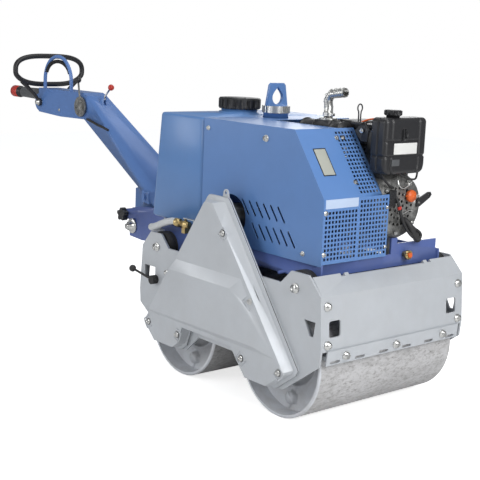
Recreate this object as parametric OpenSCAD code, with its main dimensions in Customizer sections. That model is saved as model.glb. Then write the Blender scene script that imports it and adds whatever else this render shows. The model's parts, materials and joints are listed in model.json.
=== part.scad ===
// Walk-behind double-drum vibratory roller: two steel drums in a rigid lower frame, a sprung
// upper frame with engine, hood and water tank, and a long hinged drawbar with the controls.
// X points to the engine end, Y to the machine's left, Z up. The ground is z = 0 and x = 0 lies
// midway between the drum axles.

/* [Drums] */
// Outside diameter of each drum
drum_d = 400; // [380:5:420]
// Length of each drum along its axle
drum_w = 650; // [620:10:680]
// Wall of the drum shell
drum_wall = 12; // [8:1:16]
// Distance between the two drum axles
wheelbase = 543; // [535:1:555]
// Depth of each end web below the drum's edge
web_recess = 62; // [45:1:80]
// Thickness of the end webs
web_t = 10; // [8:1:14]
// Diameter of the drum axle shafts
axle_d = 50; // [44:2:56]

/* [Lower frame] */
// Gap between a drum's end and the side plate
side_gap = 17; // [14:1:22]
// Thickness of the side plates
plate_t = 8; // [6:1:10]
// Distance from the middle to the bend of the front panel
front_reach = 480; // [472:2:496]
// Distance from the middle to the bend of the rear panel
rear_reach = 505; // [498:2:520]
// Height of the buffer lugs' top edge
lug_top = 520; // [514:2:526]
// Height of the side plates between the lugs
valley_top = 473; // [468:1:478]
// Height of the upper bend in the end panels
bend_z = 460; // [452:2:468]
// Height of the lower fold in the end panels
fold_z = 287; // [280:1:294]
// Height of the scraper strips' lower edge
strip_z = 234; // [228:1:240]
// Thickness of the end panels
panel_t = 6; // [5:1:8]
// Distance from the middle to the front buffers
front_buffer_x = 362; // [354:2:368]
// Distance from the middle to the rear buffers
rear_buffer_x = 410; // [404:1:412]
// Height of the buffers' centres
buffer_z = 467; // [462:1:472]
// Diameter of the rubber buffers
buffer_d = 114; // [104:2:116]

/* [Drive] */
// Pitch of the roller chains
chain_pitch = 15.875; // [15.875]
// Diameter of the chain rollers
roller_d = 10.16; // [9.8:0.02:10.2]
// Teeth on the drive motor's sprocket rows
motor_teeth = 12; // [12]
// Teeth on each drum sprocket
drum_teeth = 24; // [24]
// Height of the drive motor above the drum axles before the chains are cut to whole links
motor_lift = 438; // [434:1:440]
// Distance of the drive motor behind the middle before the chains are cut to whole links
motor_back = 45; // [42:1:47]
// Depth of the chain case from its back plate to its outer face
case_depth = 43; // [42:1:50]
// Wall of the chain case
case_wall = 3; // [2:0.5:4]
// Diameter of the exciter shaft
exciter_d = 40; // [36:1:44]
// Radius of the exciter weights
weight_r = 38; // [34:1:40]

/* [Upper frame and hood] */
// Length of the rubber buffers, from a side plate to the upper frame's cheek plate
buffer_len = 50; // [46:1:54]
// Height of the upper frame's floor plate
floor_z = 500; // [495:1:505]
// Height of the hood's lower edge
hood_z = 539; // [534:1:544]
// Height of the hood's top
hood_top_z = 968; // [960:2:976]
// Height where the hood's sloped front meets its upright front
nose_z = 757; // [748:1:766]
// Distance from the middle to the hood's upright front
nose_x = 415; // [410:1:420]
// Distance from the middle to the front of the hood's flat top
brow_x = 262; // [254:1:270]
// Thickness of the hood sheets
sheet_t = 2; // [1.5:0.5:3]
// Side of the square holes in the grille
mesh_hole = 9; // [7:0.5:10]
// Pitch of the square holes in the grille
mesh_pitch = 15; // [14:0.5:18]

/* [Water tank] */
// Distance from the middle to the tank's front wall
tank_front_x = 217; // [215:1:222]
// Length of the tank at its top
tank_len = 280; // [270:2:290]
// Distance that the tank's rear wall leans out at its foot
tank_lean = 44; // [36:2:52]
// Height of the tank's bottom
tank_z = 566; // [562:1:572]
// Wall of the tank
tank_wall = 5; // [4:0.5:7]
// Radius of the tank's upright edges
tank_r = 26; // [18:1:32]
// Diameter of the filler cap
cap_d = 163; // [150:1:170]
// Height of the filler cap
cap_h = 41; // [36:1:46]

/* [Engine] */
// Height of the crankshaft
crank_z = 709; // [704:1:714]
// Distance of the crankshaft to the left of the middle
crank_y = 80; // [76:1:84]
// Radius of the blower housing
blower_r = 112; // [106:1:114]
// Depth of the blower housing
blower_len = 88; // [80:1:96]
// Distance from the middle to the blower housing's front
blower_x = 397; // [392:1:400]
// Height of the fuel tank's top
fuel_top_z = 1014; // [1008:1:1020]
// Height of the fuel tank
fuel_h = 188; // [180:1:190]
// Width of the fuel tank
fuel_w = 186; // [176:2:188]
// Depth of the fuel tank
fuel_len = 64; // [58:1:68]
// Diameter of the exhaust pipe
exhaust_d = 32; // [28:1:36]

/* [Drawbar] */
// Distance of the drawbar's pivot behind the middle
pivot_back = 945; // [935:1:955]
// Height of the drawbar's pivot
pivot_z = 441; // [436:1:446]
// Diameter of the pivot bolt
pivot_d = 24; // [20:1:28]
// Half the width of the drawbar at its control end
bar_half_rear = 53; // [48:1:58]
// Half the width of the drawbar at its hinge end
bar_half_front = 79; // [74:1:82]
// Distance of the control head's front behind the middle
head_front = 1440; // [1430:2:1450]
// Length of the control head
head_len = 428; // [418:2:438]
// Half the width of the control head
head_half = 54; // [52:1:57]
// Height of the control head's top
head_top = 979; // [974:1:984]
// Thickness of the drawbar's sheet
bar_t = 4; // [3:0.5:5]
// Outside diameter of the travel hoop's tube
hoop_d = 24; // [20:1:28]
// Outside diameter of the guard hoop's tube
guard_d = 17; // [14:1:20]

/* [Hidden] */

$fn = 48;
// A cut runs past the faces that it opens by this much
overrun = 2;
// Gap between pieces that are laid against each other and may move
seat_gap = 0.3;
// Radial running clearance of a shaft in its bearing
run_gap = 0.04;
// Radial clearance of a bolt in its hole
bolt_gap = 0.5;

axle_x = wheelbase / 2;
axle_z = drum_d / 2;
plate_in = drum_w / 2 + side_gap;
plate_out = plate_in + plate_t;
cheek_y = plate_in - buffer_len;
hood_y = cheek_y + sheet_t;

// Direction of v with a length of one
function unit(v) = v / norm(v);
// Crossing of the line through a along u with the line through b along v, in two dimensions
function crossing(a, u, b, v) = a + u * (((b - a)[0] * v[1] - (b - a)[1] * v[0]) / (u[0] * v[1] - u[1] * v[0]));
// An anticlockwise outline drawn in by d on every side
function inset(points, d) = [
  for (i = [0 : len(points) - 1])
    let (n = len(points), a = points[(i + n - 1) % n], b = points[i], c = points[(i + 1) % n],
         u = unit(b - a), v = unit(c - b))
    crossing(b + d * [-u[1], u[0]], u, b + d * [-v[1], v[0]], v)
];
// Points along the arc that rounds the corner at b between a and c
function corner(a, b, c, r, steps) =
  let (u = unit(a - b), v = unit(c - b), half = acos(u * v) / 2,
       middle = b + unit(u + v) * r / sin(half),
       start = b + u * r / tan(half), finish = b + v * r / tan(half),
       e1 = unit(start - middle), e2 = unit((finish - middle) - e1 * ((finish - middle) * e1)))
  [for (k = [0 : steps]) let (t = (180 - 2 * half) * k / steps) middle + r * (cos(t) * e1 + sin(t) * e2)];
// A closed outline with all corners rounded
function rounded_ring(points, r, steps = 4) = [
  for (i = [0 : len(points) - 1])
    let (n = len(points))
    each corner(points[(i + n - 1) % n], points[i], points[(i + 1) % n], r, steps)
];
// A smooth run of points through a hand-laid route
function flowing(p, steps = 3) = [
  for (i = [0 : len(p) - 2])
    let (a = p[max(i - 1, 0)], b = p[i], c = p[i + 1], d = p[min(i + 2, len(p) - 1)])
    for (k = [0 : steps - (i == len(p) - 2 ? 0 : 1)])
      let (t = k / steps)
      0.5 * (2 * b + (c - a) * t + (2 * a - 5 * b + 4 * c - d) * t * t + (3 * b - a - 3 * c + d) * t * t * t)
];
// The same run with a straight stretch at each end, square to what it meets
function led(p, low, high, steps = 3) =
  let (n = len(p), a = unit(p[1] - p[0]), b = unit(p[n - 2] - p[n - 1]))
  concat([p[0]], flowing([for (i = [0 : n - 1]) p[i] + (i == 0 ? low * a : i == n - 1 ? high * b : [0, 0, 0])], steps),
    [p[n - 1]]);
function tangent(p, i) = unit(p[min(i + 1, len(p) - 1)] - p[max(i - 1, 0)]);
function first_side(t) = unit(cross(t, abs(t[2]) < 0.9 ? [0, 0, 1] : [1, 0, 0]));
// Two directions square to the route at each of its points, carried along without twist
function frames(p, i = 0, done = []) =
  i == len(p) ? done :
  let (t = tangent(p, i), q = i == 0 ? first_side(t) : done[i - 1][0], s = unit(q - t * (q * t)))
  frames(p, i + 1, concat(done, [[s, cross(t, s)]]));

// A solid through rings that each hold the same number of points
module loft(rings) {
  n = len(rings[0]);
  m = len(rings);
  faces = concat(
    [[for (k = [0 : n - 1]) k]],
    [for (j = [0 : m - 2]) for (k = [0 : n - 1])
      each [[j * n + k, (j + 1) * n + k, (j + 1) * n + (k + 1) % n],
            [j * n + k, (j + 1) * n + (k + 1) % n, j * n + (k + 1) % n]]],
    [[for (k = [n - 1 : -1 : 0]) (m - 1) * n + k]]
  );
  polyhedron([for (ring = rings) each ring], faces, convexity = 6);
}
// A round tube or rod along a route
module run(path, d, sides = 10) {
  f = frames(path);
  loft([for (i = [0 : len(path) - 1])
    [for (k = [0 : sides - 1])
      let (a = 360 * k / sides) path[i] + d / 2 * (cos(a) * f[i][0] + sin(a) * f[i][1])]]);
}
// A closed round tube along a loop that lies square to X
module loop(path, d, sides = 10) {
  m = len(path);
  points = [for (i = [0 : m - 1])
    let (t = unit(path[(i + 1) % m] - path[(i + m - 1) % m]), s = [1, 0, 0], q = cross(t, s))
    for (k = [0 : sides - 1]) let (a = 360 * k / sides) path[i] + d / 2 * (cos(a) * s + sin(a) * q)];
  polyhedron(points, [for (i = [0 : m - 1]) for (k = [0 : sides - 1])
    let (j = (i + 1) % m, l = (k + 1) % sides)
    each [[i * sides + k, j * sides + k, j * sides + l], [i * sides + k, j * sides + l, i * sides + l]]], convexity = 6);
}
// An outline in X and Z, as thick as t from y0 towards +Y
module plate_y(points, y0, t) {
  translate([0, y0 + t, 0]) rotate([90, 0, 0]) linear_extrude(t) polygon(points);
}
// An outline in Y and Z, as thick as t from x0 towards +X
module plate_x(points, x0, t) {
  translate([x0, 0, 0]) rotate([90, 0, 90]) linear_extrude(t) polygon(points);
}
module rod_y(d, y0, y1) {
  translate([0, y0, 0]) rotate([-90, 0, 0]) cylinder(d = d, h = y1 - y0);
}
module rod_x(d, x0, x1) {
  translate([x0, 0, 0]) rotate([0, 90, 0]) cylinder(d = d, h = x1 - x0);
}
// A box between two opposite corners
module block(low, high) {
  translate(low) cube(high - low);
}
// A rectangle with rounded corners, centred
module soft_square(size, r) {
  square([size[0] - 2 * r, size[1]], center = true);
  square([size[0], size[1] - 2 * r], center = true);
  for (sx = [-1, 1]) for (sy = [-1, 1])
    translate([sx * (size[0] / 2 - r), sy * (size[1] / 2 - r)]) circle(r);
}
// A slot with round ends, upright and centred
module slot(w, l) {
  polygon([for (k = [0 : 13]) let (a = 180 * (k > 6 ? k - 1 : k) / 6, s = k > 6 ? -1 : 1)
    [w / 2 * cos(a), s * (l - w) / 2 + w / 2 * sin(a)]]);
}
// A copy and its mirror image on the other side of the machine
module both_sides() {
  children();
  mirror([0, 1, 0]) children();
}
// A hexagon bolt head on a washer, seated at y = 0 and standing towards -Y
module bolt_head_y(d) {
  washer_t = 0.2 * d;
  rod_y(2.1 * d, -washer_t, 0);
  translate([0, -washer_t, 0]) rotate([90, 0, 0]) cylinder(d = 1.7 * d, h = 0.65 * d, $fn = 6);
}
// The same bolt head standing towards +X from x = 0
module bolt_head_x(d) {
  rotate([0, 0, 90]) bolt_head_y(d);
}

// Drums
drum_chamfer = 4;
web_dish = 16;
hub_d = axle_d + 34;
hub_len = 46;
web_ring_d = 210;
web_ring_t = 6;
plug_d = 44;
shell_in = drum_d / 2 - drum_wall;
web_y = drum_w / 2 - web_recess;

// A drum's shell, turned about the axle
module drum(x) {
  edge = drum_w / 2;
  translate([x, 0, axle_z]) rotate([-90, 0, 0]) rotate_extrude($fn = 96) polygon([
    [shell_in, -edge], [drum_d / 2 - drum_chamfer, -edge], [drum_d / 2, drum_chamfer - edge],
    [drum_d / 2, edge - drum_chamfer], [drum_d / 2 - drum_chamfer, edge], [shell_in, edge]
  ]);
}
module front_drum() {
  color("dimgray") drum(axle_x);
}
module rear_drum() {
  color("dimgray") drum(-axle_x);
}
// The two dished end webs of a drum with their hubs, stiffening rings and filler plugs
module drum_ends(x) {
  rim = shell_in - seat_gap;
  dish = web_y - web_dish;
  plug_reach = (web_ring_d / 2 + shell_in) / 2;
  translate([x, 0, axle_z]) both_sides() {
    rotate([90, 0, 0]) rotate_extrude($fn = 96) polygon([
      [axle_d / 2, dish - web_t], [web_ring_d / 2, dish - web_t], [rim, web_y - web_t], [rim, web_y],
      [web_ring_d / 2 + web_ring_t, dish + web_dish * web_ring_t / (rim - web_ring_d / 2)],
      [web_ring_d / 2 + web_ring_t, dish + 1.5 * web_ring_t], [web_ring_d / 2 - web_ring_t, dish + 1.5 * web_ring_t],
      [web_ring_d / 2 - web_ring_t, dish], [hub_d / 2, dish], [hub_d / 2, dish - web_t + hub_len],
      [axle_d / 2, dish - web_t + hub_len]
    ]);
    translate([0, web_t - web_y, -plug_reach]) rod_y(plug_d, -web_t - web_ring_t, web_dish / 2);
  }
}
module front_drum_ends() {
  color("dimgray") drum_ends(axle_x);
}
module rear_drum_ends() {
  color("dimgray") drum_ends(-axle_x);
}

// Bearings of the two drums and of the exciter shaft
bearing_d = 92;
bearing_flange_d = 122;
bearing_flange_t = 9;
exciter_z = 305;
module bearing(bore) {
  difference() {
    union() {
      rod_y(bearing_flange_d, plate_in - bearing_flange_t, plate_in);
      rod_y(bearing_d, plate_in, plate_out);
    }
    rod_y(bore + 2 * run_gap, plate_in - 2 * bearing_flange_t, plate_out + overrun);
  }
}
module shaft_bearings() {
  color("gray") both_sides() {
    for (x = [-axle_x, axle_x]) translate([x, 0, axle_z]) bearing(axle_d);
    translate([0, 0, exciter_z]) bearing(exciter_d);
  }
}

// Side plates
foot_z = 113;
foot_toe = 52;
foot_heel = 62;
notch_z = 178;
notch_half = 138;
strip_lean = 8;
fold_lean = 13;
lug_out = 58;
lug_in = 24;
lug_foot = 72;
lug_chamfer = 8;
window_front_shares = [[0.853, 0.815], [0.962, 0.815], [0.948, 0.707], [0.911, 0.707]];
window_rear_shares = [[-0.964, 0.84], [-0.964, 0.73], [-0.83, 0.73], [-0.83, 0.84]];
plate_outline = [
  [axle_x + foot_toe, foot_z], [front_reach + strip_lean, strip_z], [front_reach + fold_lean, fold_z],
  [front_reach, bend_z], [front_buffer_x + lug_out + lug_chamfer, lug_top - lug_chamfer],
  [front_buffer_x + lug_out, lug_top], [front_buffer_x - lug_in, lug_top],
  [front_buffer_x - lug_foot, valley_top], [-rear_buffer_x + lug_foot, valley_top],
  [-rear_buffer_x + lug_in, lug_top], [-rear_buffer_x - lug_out + 2 * lug_chamfer, lug_top],
  [-rear_reach, bend_z], [-rear_reach - fold_lean, fold_z], [-rear_reach - strip_lean, strip_z],
  [-axle_x - foot_toe, foot_z], [-axle_x + foot_heel, foot_z], [-notch_half, notch_z],
  [notch_half, notch_z], [axle_x - foot_heel, foot_z]
];
buffer_bolt_d = 16;
module through_plate(d) {
  rod_y(d, -plate_out - overrun, -plate_in + overrun);
}
module side_plate() {
  difference() {
    plate_y(plate_outline, -plate_out, plate_t);
    for (x = [-axle_x, axle_x]) translate([x, 0, axle_z]) through_plate(bearing_d);
    translate([0, 0, exciter_z]) through_plate(bearing_d);
    for (x = [-rear_buffer_x, front_buffer_x])
      translate([x, 0, buffer_z]) through_plate(buffer_bolt_d + 2 * bolt_gap);
    for (w = [window_front_shares, window_rear_shares])
      plate_y([for (s = w) [s[0] * (s[0] > 0 ? front_reach : rear_reach), s[1] * bend_z]],
        -plate_out - overrun, plate_t + 2 * overrun);
  }
}
module side_plate_right() {
  color("silver") side_plate();
}
module side_plate_left() {
  color("silver") mirror([0, 1, 0]) side_plate();
}

// End panels: a leaning face, a top folded back over the drums and a lower edge
panel_half = plate_in;
panel_top_z = lug_top - 4;
panel_top_back = 48;
window_w = 51;
window_h = 54;
window_r = 8;
window_in = 54;
window_y = panel_half - window_in;
window_z = 352;
notch_in = 157;
notch_w = 2 * (panel_half - notch_in);
notch_drop = 9;
panel_profile = [
  [fold_lean - panel_t, fold_z - panel_t], [fold_lean, fold_z - panel_t], [fold_lean, fold_z],
  [0, bend_z], [-panel_top_back, panel_top_z], [-panel_top_back - panel_t, panel_top_z - panel_t],
  [-panel_t, bend_z - panel_t / 2], [fold_lean - panel_t, fold_z]
];
module end_panel() {
  difference() {
    plate_y(panel_profile, -panel_half, 2 * panel_half);
    for (s = [-1, 1])
      translate([-2 * panel_t, s * window_y, window_z]) rotate([90, 0, 90])
        linear_extrude(6 * panel_t) soft_square([window_w, window_h], window_r);
    block([-2 * panel_top_back, -notch_w / 2, panel_top_z - notch_drop],
      [panel_t, notch_w / 2, panel_top_z + panel_t]);
    for (s = [-1, 1])
      block([-2 * panel_top_back, s * (notch_w / 2 + 3 * notch_drop) - notch_drop, panel_top_z - notch_drop],
        [panel_t, s * (notch_w / 2 + 3 * notch_drop) + notch_drop, panel_top_z + panel_t]);
  }
}
module front_panel() {
  color("silver") translate([front_reach, 0, 0]) end_panel();
}
module rear_panel() {
  color("silver") translate([-rear_reach, 0, 0]) mirror([1, 0, 0]) end_panel();
}

// Scraper strips with drain slots, each with a lip that reaches the drum
strip_t = 6;
strip_slots = 6;
slot_w = 45;
slot_h = 9;
strip_half = drum_w / 2;
lip_t = 12;
lip_z = 252;
lip_gap = 1.5;
strip_bolt_in = 85;
strip_bolt_y = strip_half - strip_bolt_in;
strip_top = fold_z - panel_t / 2;
strip_profile = [
  [fold_lean, fold_z - panel_t], [fold_lean + strip_t, strip_top],
  [strip_lean + strip_t, strip_z], [strip_lean, strip_z]
];
module scraper(reach) {
  lip_end = axle_x - reach + sqrt(pow(drum_d / 2 + lip_gap, 2) - pow(lip_z - axle_z, 2));
  difference() {
    union() {
      plate_y(strip_profile, -strip_half, 2 * strip_half);
      block([lip_end, -strip_half, lip_z], [strip_lean + strip_t / 2, strip_half, lip_z + lip_t]);
    }
    for (k = [0 : strip_slots - 1])
      translate([-overrun, (k - (strip_slots - 1) / 2) * 2 * strip_half / (strip_slots - 0.3), lip_z - slot_h])
        rotate([90, 0, 90]) linear_extrude(fold_lean + 3 * strip_t) soft_square([slot_w, slot_h], slot_h / 2.2);
  }
}
module scraper_strips() {
  color("silver") {
    translate([front_reach, 0, 0]) scraper(front_reach);
    translate([-rear_reach, 0, 0]) mirror([1, 0, 0]) scraper(rear_reach);
  }
}

// Exciter: an eccentric shaft in a cross tube between the drums
exciter_tube_d = 116;
exciter_tube_t = 8;
weight_count = 4;
weight_t = 60;
exciter_end = plate_in - bearing_flange_t - seat_gap;
module exciter_tube() {
  color("silver") translate([0, 0, exciter_z]) difference() {
    rod_y(exciter_tube_d, -plate_in + bearing_flange_t, plate_in - bearing_flange_t);
    rod_y(exciter_tube_d - 2 * exciter_tube_t, -exciter_end - overrun, exciter_end + overrun);
  }
}
module exciter_shaft() {
  pitch = 2 * exciter_end / (weight_count + 1);
  color("gray") translate([0, 0, exciter_z]) {
    rod_y(exciter_d, -plate_out + plate_t / 2, plate_out + plate_t / 2);
    for (k = [1 : weight_count])
      translate([0, -exciter_end + k * pitch, 0]) intersection() {
        rod_y(2 * weight_r, -weight_t / 2, weight_t / 2);
        block([-weight_r, -weight_t, -weight_r], [weight_r, weight_t, exciter_d / 4]);
      }
  }
}

// Chain drive: one chain from the motor to each drum, side by side
roller_r = roller_d / 2;
chain_plate_t = 1.5;
chain_inner = 9.6;
chain_plate_h = 14.2;
link_gap = 0.2;
chain_pin_d = 5;
sprocket_t = chain_inner - 0.7;
chain_half = chain_inner / 2 + 2 * chain_plate_t + link_gap;
back_plate_t = 5;
seal_t = 3;
row_pitch = 2 * chain_half + 1.6;
row_near = plate_out + back_plate_t + 1.8 + chain_half;
row_far = row_near + row_pitch;
// Radius of the circle through the roller centres on a sprocket
function pitch_r(teeth) = chain_pitch / (2 * sin(180 / teeth));
// Radius at which one pitch of arc is one tooth
function arc_r(teeth) = teeth * chain_pitch / (2 * PI);
r_small = pitch_r(motor_teeth);
r_big = pitch_r(drum_teeth);
// Length of a chain round both sprockets at a centre distance
function lean(c) = asin((r_big - r_small) / c);
function chain_len(c) =
  2 * c * cos(lean(c)) + arc_r(motor_teeth) * (180 - 2 * lean(c)) * PI / 180
  + arc_r(drum_teeth) * (180 + 2 * lean(c)) * PI / 180;
// Whole and even number of links nearest to a centre distance
function whole_links(c) = 2 * round(chain_len(c) / chain_pitch / 2);
// Centre distance at which a chain has just that many links
function centre_for(links, low, high, turns = 30) =
  turns == 0 ? (low + high) / 2 :
  chain_len((low + high) / 2) > links * chain_pitch
    ? centre_for(links, low, (low + high) / 2, turns - 1)
    : centre_for(links, (low + high) / 2, high, turns - 1);
rough_front = norm([axle_x + motor_back, motor_lift]);
rough_rear = norm([axle_x - motor_back, motor_lift]);
links_front = whole_links(rough_front);
links_rear = whole_links(rough_rear);
centre_front = centre_for(links_front, rough_front - 2 * chain_pitch, rough_front + 2 * chain_pitch);
centre_rear = centre_for(links_rear, rough_rear - 2 * chain_pitch, rough_rear + 2 * chain_pitch);
motor_x = (centre_rear * centre_rear - centre_front * centre_front) / (4 * axle_x);
motor_z = axle_z + sqrt(centre_rear * centre_rear - pow(axle_x + motor_x, 2));

// Rollers are placed by their distance s along the loop, counted anticlockwise from the motor
// sprocket's left-hand tangent point in a frame whose x axis runs from the motor to the drum
function on_loop(s, c) =
  let (k = lean(c), arc_a = arc_r(motor_teeth) * (180 - 2 * k) * PI / 180, straight = c * cos(k),
       arc_b = arc_r(drum_teeth) * (180 + 2 * k) * PI / 180)
  s < arc_a ? let (a = 90 + k + s / arc_r(motor_teeth) * 180 / PI) r_small * [cos(a), sin(a)] :
  s < arc_a + straight ? let (a = -90 - k, u = s - arc_a)
    r_small * [cos(a), sin(a)] + u * [cos(k), -sin(k)] :
  s < arc_a + straight + arc_b ?
    let (a = -90 - k + (s - arc_a - straight) / arc_r(drum_teeth) * 180 / PI) [c, 0] + r_big * [cos(a), sin(a)] :
    let (a = 90 + k, u = s - arc_a - straight - arc_b) [c, 0] + r_big * [cos(a), sin(a)] + u * [-cos(k), -sin(k)];
// Direction in degrees of the line from the motor to a drum, seen from the machine's right
function leg_angle(side) = atan2(axle_z - motor_z, side * axle_x - motor_x);
// First roller's distance, so that a roller lies straight above the motor
function first_s(side, c) =
  let (gap = (90 - leg_angle(side) - 90 - lean(c)), turn = ((gap % 360) + 360) % 360) turn * PI / 180 * arc_r(motor_teeth);
function chain_point(i, side, c) =
  let (loop = chain_len(c), s = first_s(side, c) + i * chain_pitch, q = on_loop(s - floor(s / loop) * loop, c),
       a = leg_angle(side))
  [motor_x + q[0] * cos(a) - q[1] * sin(a), motor_z + q[0] * sin(a) + q[1] * cos(a)];
// Angle of the first roller that lies well on the drum sprocket, seen from the machine's right
function drum_phase(side, c, links) =
  let (centre = [side * axle_x, axle_z],
       on = [for (i = [0 : links - 1]) let (q = chain_point(i, side, c) - centre) if (abs(norm(q) - r_big) < 0.01) q])
  atan2(on[4][1], on[4][0]);

module link_shape(a, b) {
  d = b - a;
  translate(a) rotate(atan2(d[1], d[0])) {
    circle(d = chain_plate_h, $fn = 24);
    translate([norm(d), 0]) circle(d = chain_plate_h, $fn = 24);
    translate([0, -0.36 * chain_plate_h]) square([norm(d), 0.72 * chain_plate_h]);
  }
}
// One chain whose middle lies at y = -row
module chain(side, c, links, row) {
  p = [for (i = [0 : links]) chain_point(i % links, side, c)];
  translate([0, -row, 0]) rotate([90, 0, 0]) {
    for (i = [0 : links - 1]) {
      inner = i % 2 == 0;
      z0 = chain_inner / 2 + (inner ? 0 : chain_plate_t + link_gap / 2);
      for (z = [z0, -z0 - chain_plate_t])
        translate([0, 0, z]) linear_extrude(chain_plate_t) link_shape(p[i], p[i + 1]);
      translate([p[i][0], p[i][1], -chain_inner / 2]) cylinder(r = roller_r, h = chain_inner, $fn = 24);
      translate([p[i][0], p[i][1], -chain_half]) cylinder(d = chain_pin_d, h = 2 * chain_half, $fn = 24);
    }
  }
}
module drive_chains() {
  color("darkslategray") {
    chain(1, centre_front, links_front, row_near);
    chain(-1, centre_rear, links_rear, row_far);
  }
}
// Flat outline of a sprocket with one roller seat at the angle phase
module sprocket_shape(teeth, phase) {
  r = pitch_r(teeth);
  seat = roller_r + 1.5 * link_gap;
  tip = 0.23 * chain_pitch;
  flare = 0.62 * tip;
  difference() {
    circle(r + tip, $fn = 96);
    for (k = [0 : teeth - 1]) rotate(phase + 360 * k / teeth) {
      translate([r, 0]) circle(seat, $fn = 24);
      polygon([[r, -seat], [r + 2 * tip, -seat - 2 * flare], [r + 2 * tip, seat + 2 * flare], [r, seat]]);
    }
  }
}
module sprocket(teeth, phase, row) {
  translate([0, -row + sprocket_t / 2, 0]) rotate([90, 0, 0]) linear_extrude(sprocket_t)
    sprocket_shape(teeth, phase);
}
boss_d = 58;
key_w = 14;
// A drum's through shaft with its chain sprocket on the right-hand end
module sprocket_shaft(side, c, links, row) {
  translate([side * axle_x, 0, axle_z]) {
    sprocket(drum_teeth, drum_phase(side, c, links), row);
    rod_y(axle_d, -row - sprocket_t, plate_out - plate_t / 4);
    rod_y(boss_d, -row - sprocket_t / 2 - seat_gap, -plate_out - back_plate_t - seat_gap);
  }
}
module front_sprocket_shaft() {
  color("gray") sprocket_shaft(1, centre_front, links_front, row_near);
}
module rear_sprocket_shaft() {
  color("gray") sprocket_shaft(-1, centre_rear, links_rear, row_far);
}
motor_shaft_d = 25;
motor_pilot_d = 50;
motor_body_d = 124;
motor_len = 92;
motor_flange_t = 14;
motor_boss_d = 40;
port_len = 14;
module motor_sprocket() {
  color("gray") translate([motor_x, 0, motor_z]) difference() {
    union() {
      sprocket(motor_teeth, 90, row_near);
      sprocket(motor_teeth, 90, row_far);
      rod_y(motor_boss_d, -row_far - sprocket_t / 2, -row_near + sprocket_t / 2);
    }
    rod_y(motor_shaft_d + 2 * run_gap, -row_far - sprocket_t, 0);
  }
}
// A low-speed hydraulic motor on its flange, its shaft towards -Y from the face at y = 0
module hydraulic_motor(shaft_len) {
  difference() {
    union() {
      rod_y(motor_body_d * 0.86, motor_flange_t, motor_len);
      rod_y(motor_body_d, 0, motor_flange_t);
      for (s = [-1, 1]) translate([s * motor_body_d / 5, 0, 0]) rod_y(26, motor_len - overrun, motor_len + port_len);
    }
    for (k = [0 : 3]) rotate([0, 45 + 90 * k, 0])
      translate([motor_body_d * 0.45, 0, 0]) rod_y(9, -overrun, motor_flange_t + overrun);
  }
  rod_y(motor_shaft_d, -shaft_len, overrun);
}
module hydraulic_motors() {
  color("dimgray") {
    translate([motor_x, -plate_out, motor_z]) hydraulic_motor(row_far + sprocket_t / 2 - plate_out);
    translate([0, plate_out + plate_t / 2 + overrun, exciter_z])
      rod_y(motor_body_d * 0.86, 0, motor_len * 0.5);
    translate([0, plate_out, exciter_z]) difference() {
      rod_y(motor_body_d, 0, motor_flange_t);
      rod_y(exciter_d + 4 * bolt_gap, -overrun, plate_t / 2 + seat_gap);
    }
  }
}

// Chain case: a back plate, a seal and a pressed cover, all with one outline
leg_z = 198;
foot_low = 113;
notch_low = 203;
case_outline = [
  [motor_x + 70, motor_z + 67], [motor_x + 58, motor_z + 77],
  [motor_x - 42, motor_z + 77], [motor_x - 54, motor_z + 67],
  [-axle_x - 158, leg_z], [-axle_x - 146, leg_z - 32], [-axle_x - 88, foot_low],
  [-axle_x + 44, foot_low], [-axle_x + 76, foot_low + 22], [-axle_x + 101, notch_low],
  [axle_x - 180, notch_low], [axle_x - 146, notch_low - 35], [axle_x - 96, foot_low],
  [axle_x + 28, foot_low], [axle_x + 120, leg_z - 18], [axle_x + 130, leg_z]
];
case_foot = [
  [motor_x + 52, motor_z + 56], [motor_x + 46, motor_z + 62],
  [motor_x - 32, motor_z + 62], [motor_x - 38, motor_z + 56],
  [-axle_x - 140, leg_z + 2], [-axle_x - 129, leg_z - 26], [-axle_x - 80, foot_low + 9],
  [-axle_x + 38, foot_low + 9], [-axle_x + 68, foot_low + 30], [-axle_x + 96, notch_low + 8],
  [axle_x - 174, notch_low + 8], [axle_x - 140, notch_low - 30], [axle_x - 92, foot_low + 9],
  [axle_x + 22, foot_low + 9], [axle_x + 106, leg_z - 14], [axle_x + 112, leg_z]
];
case_ridge = [
  [motor_x + 28, motor_z + 50], [motor_x + 20, motor_z + 57],
  [motor_x - 20, motor_z + 57], [motor_x - 28, motor_z + 50],
  [-axle_x - 136, leg_z], [-axle_x - 126, leg_z - 30], [-axle_x - 77, foot_low + 12],
  [-axle_x + 36, foot_low + 12], [-axle_x + 66, foot_low + 33], [-axle_x + 94, notch_low + 11],
  [axle_x - 170, notch_low + 11], [axle_x - 136, notch_low - 27], [axle_x - 90, foot_low + 12],
  [axle_x + 16, foot_low + 12], [axle_x + 95, leg_z - 18], [axle_x + 101, leg_z - 6]
];
flange_w = 20;
cover_base = plate_out + back_plate_t + seal_t;
cover_face = plate_out + case_depth + 5;
raise_h = 16;
raise_low = [
  [-axle_x - 108, leg_z + 32], [axle_x + 62, leg_z + 28], [axle_x - 126, bend_z + 2],
  [-axle_x + 50, bend_z + 2]
];
raise_high = [
  [-axle_x - 94, leg_z + 46], [axle_x - 38, leg_z + 50], [axle_x - 168, bend_z - 42],
  [-axle_x + 24, bend_z - 42]
];
function at_y(points, y) = [for (p = points) [p[0], y, p[1]]];
channel_at = [axle_x - 76, leg_z + 194];
channel_len = 118;
channel_w = 32;
face_bolts = [
  [motor_x + 83, motor_z - 38], channel_at, [axle_x + 78, leg_z - 12],
  [-axle_x + 66, leg_z - 18], [axle_x - 112, leg_z - 12], [-axle_x - 115, leg_z - 10]
];
spacer_bolt = [-axle_x - 24, leg_z + 196];
spacer_len = 24;
cover_bolt_d = 10;
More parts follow.
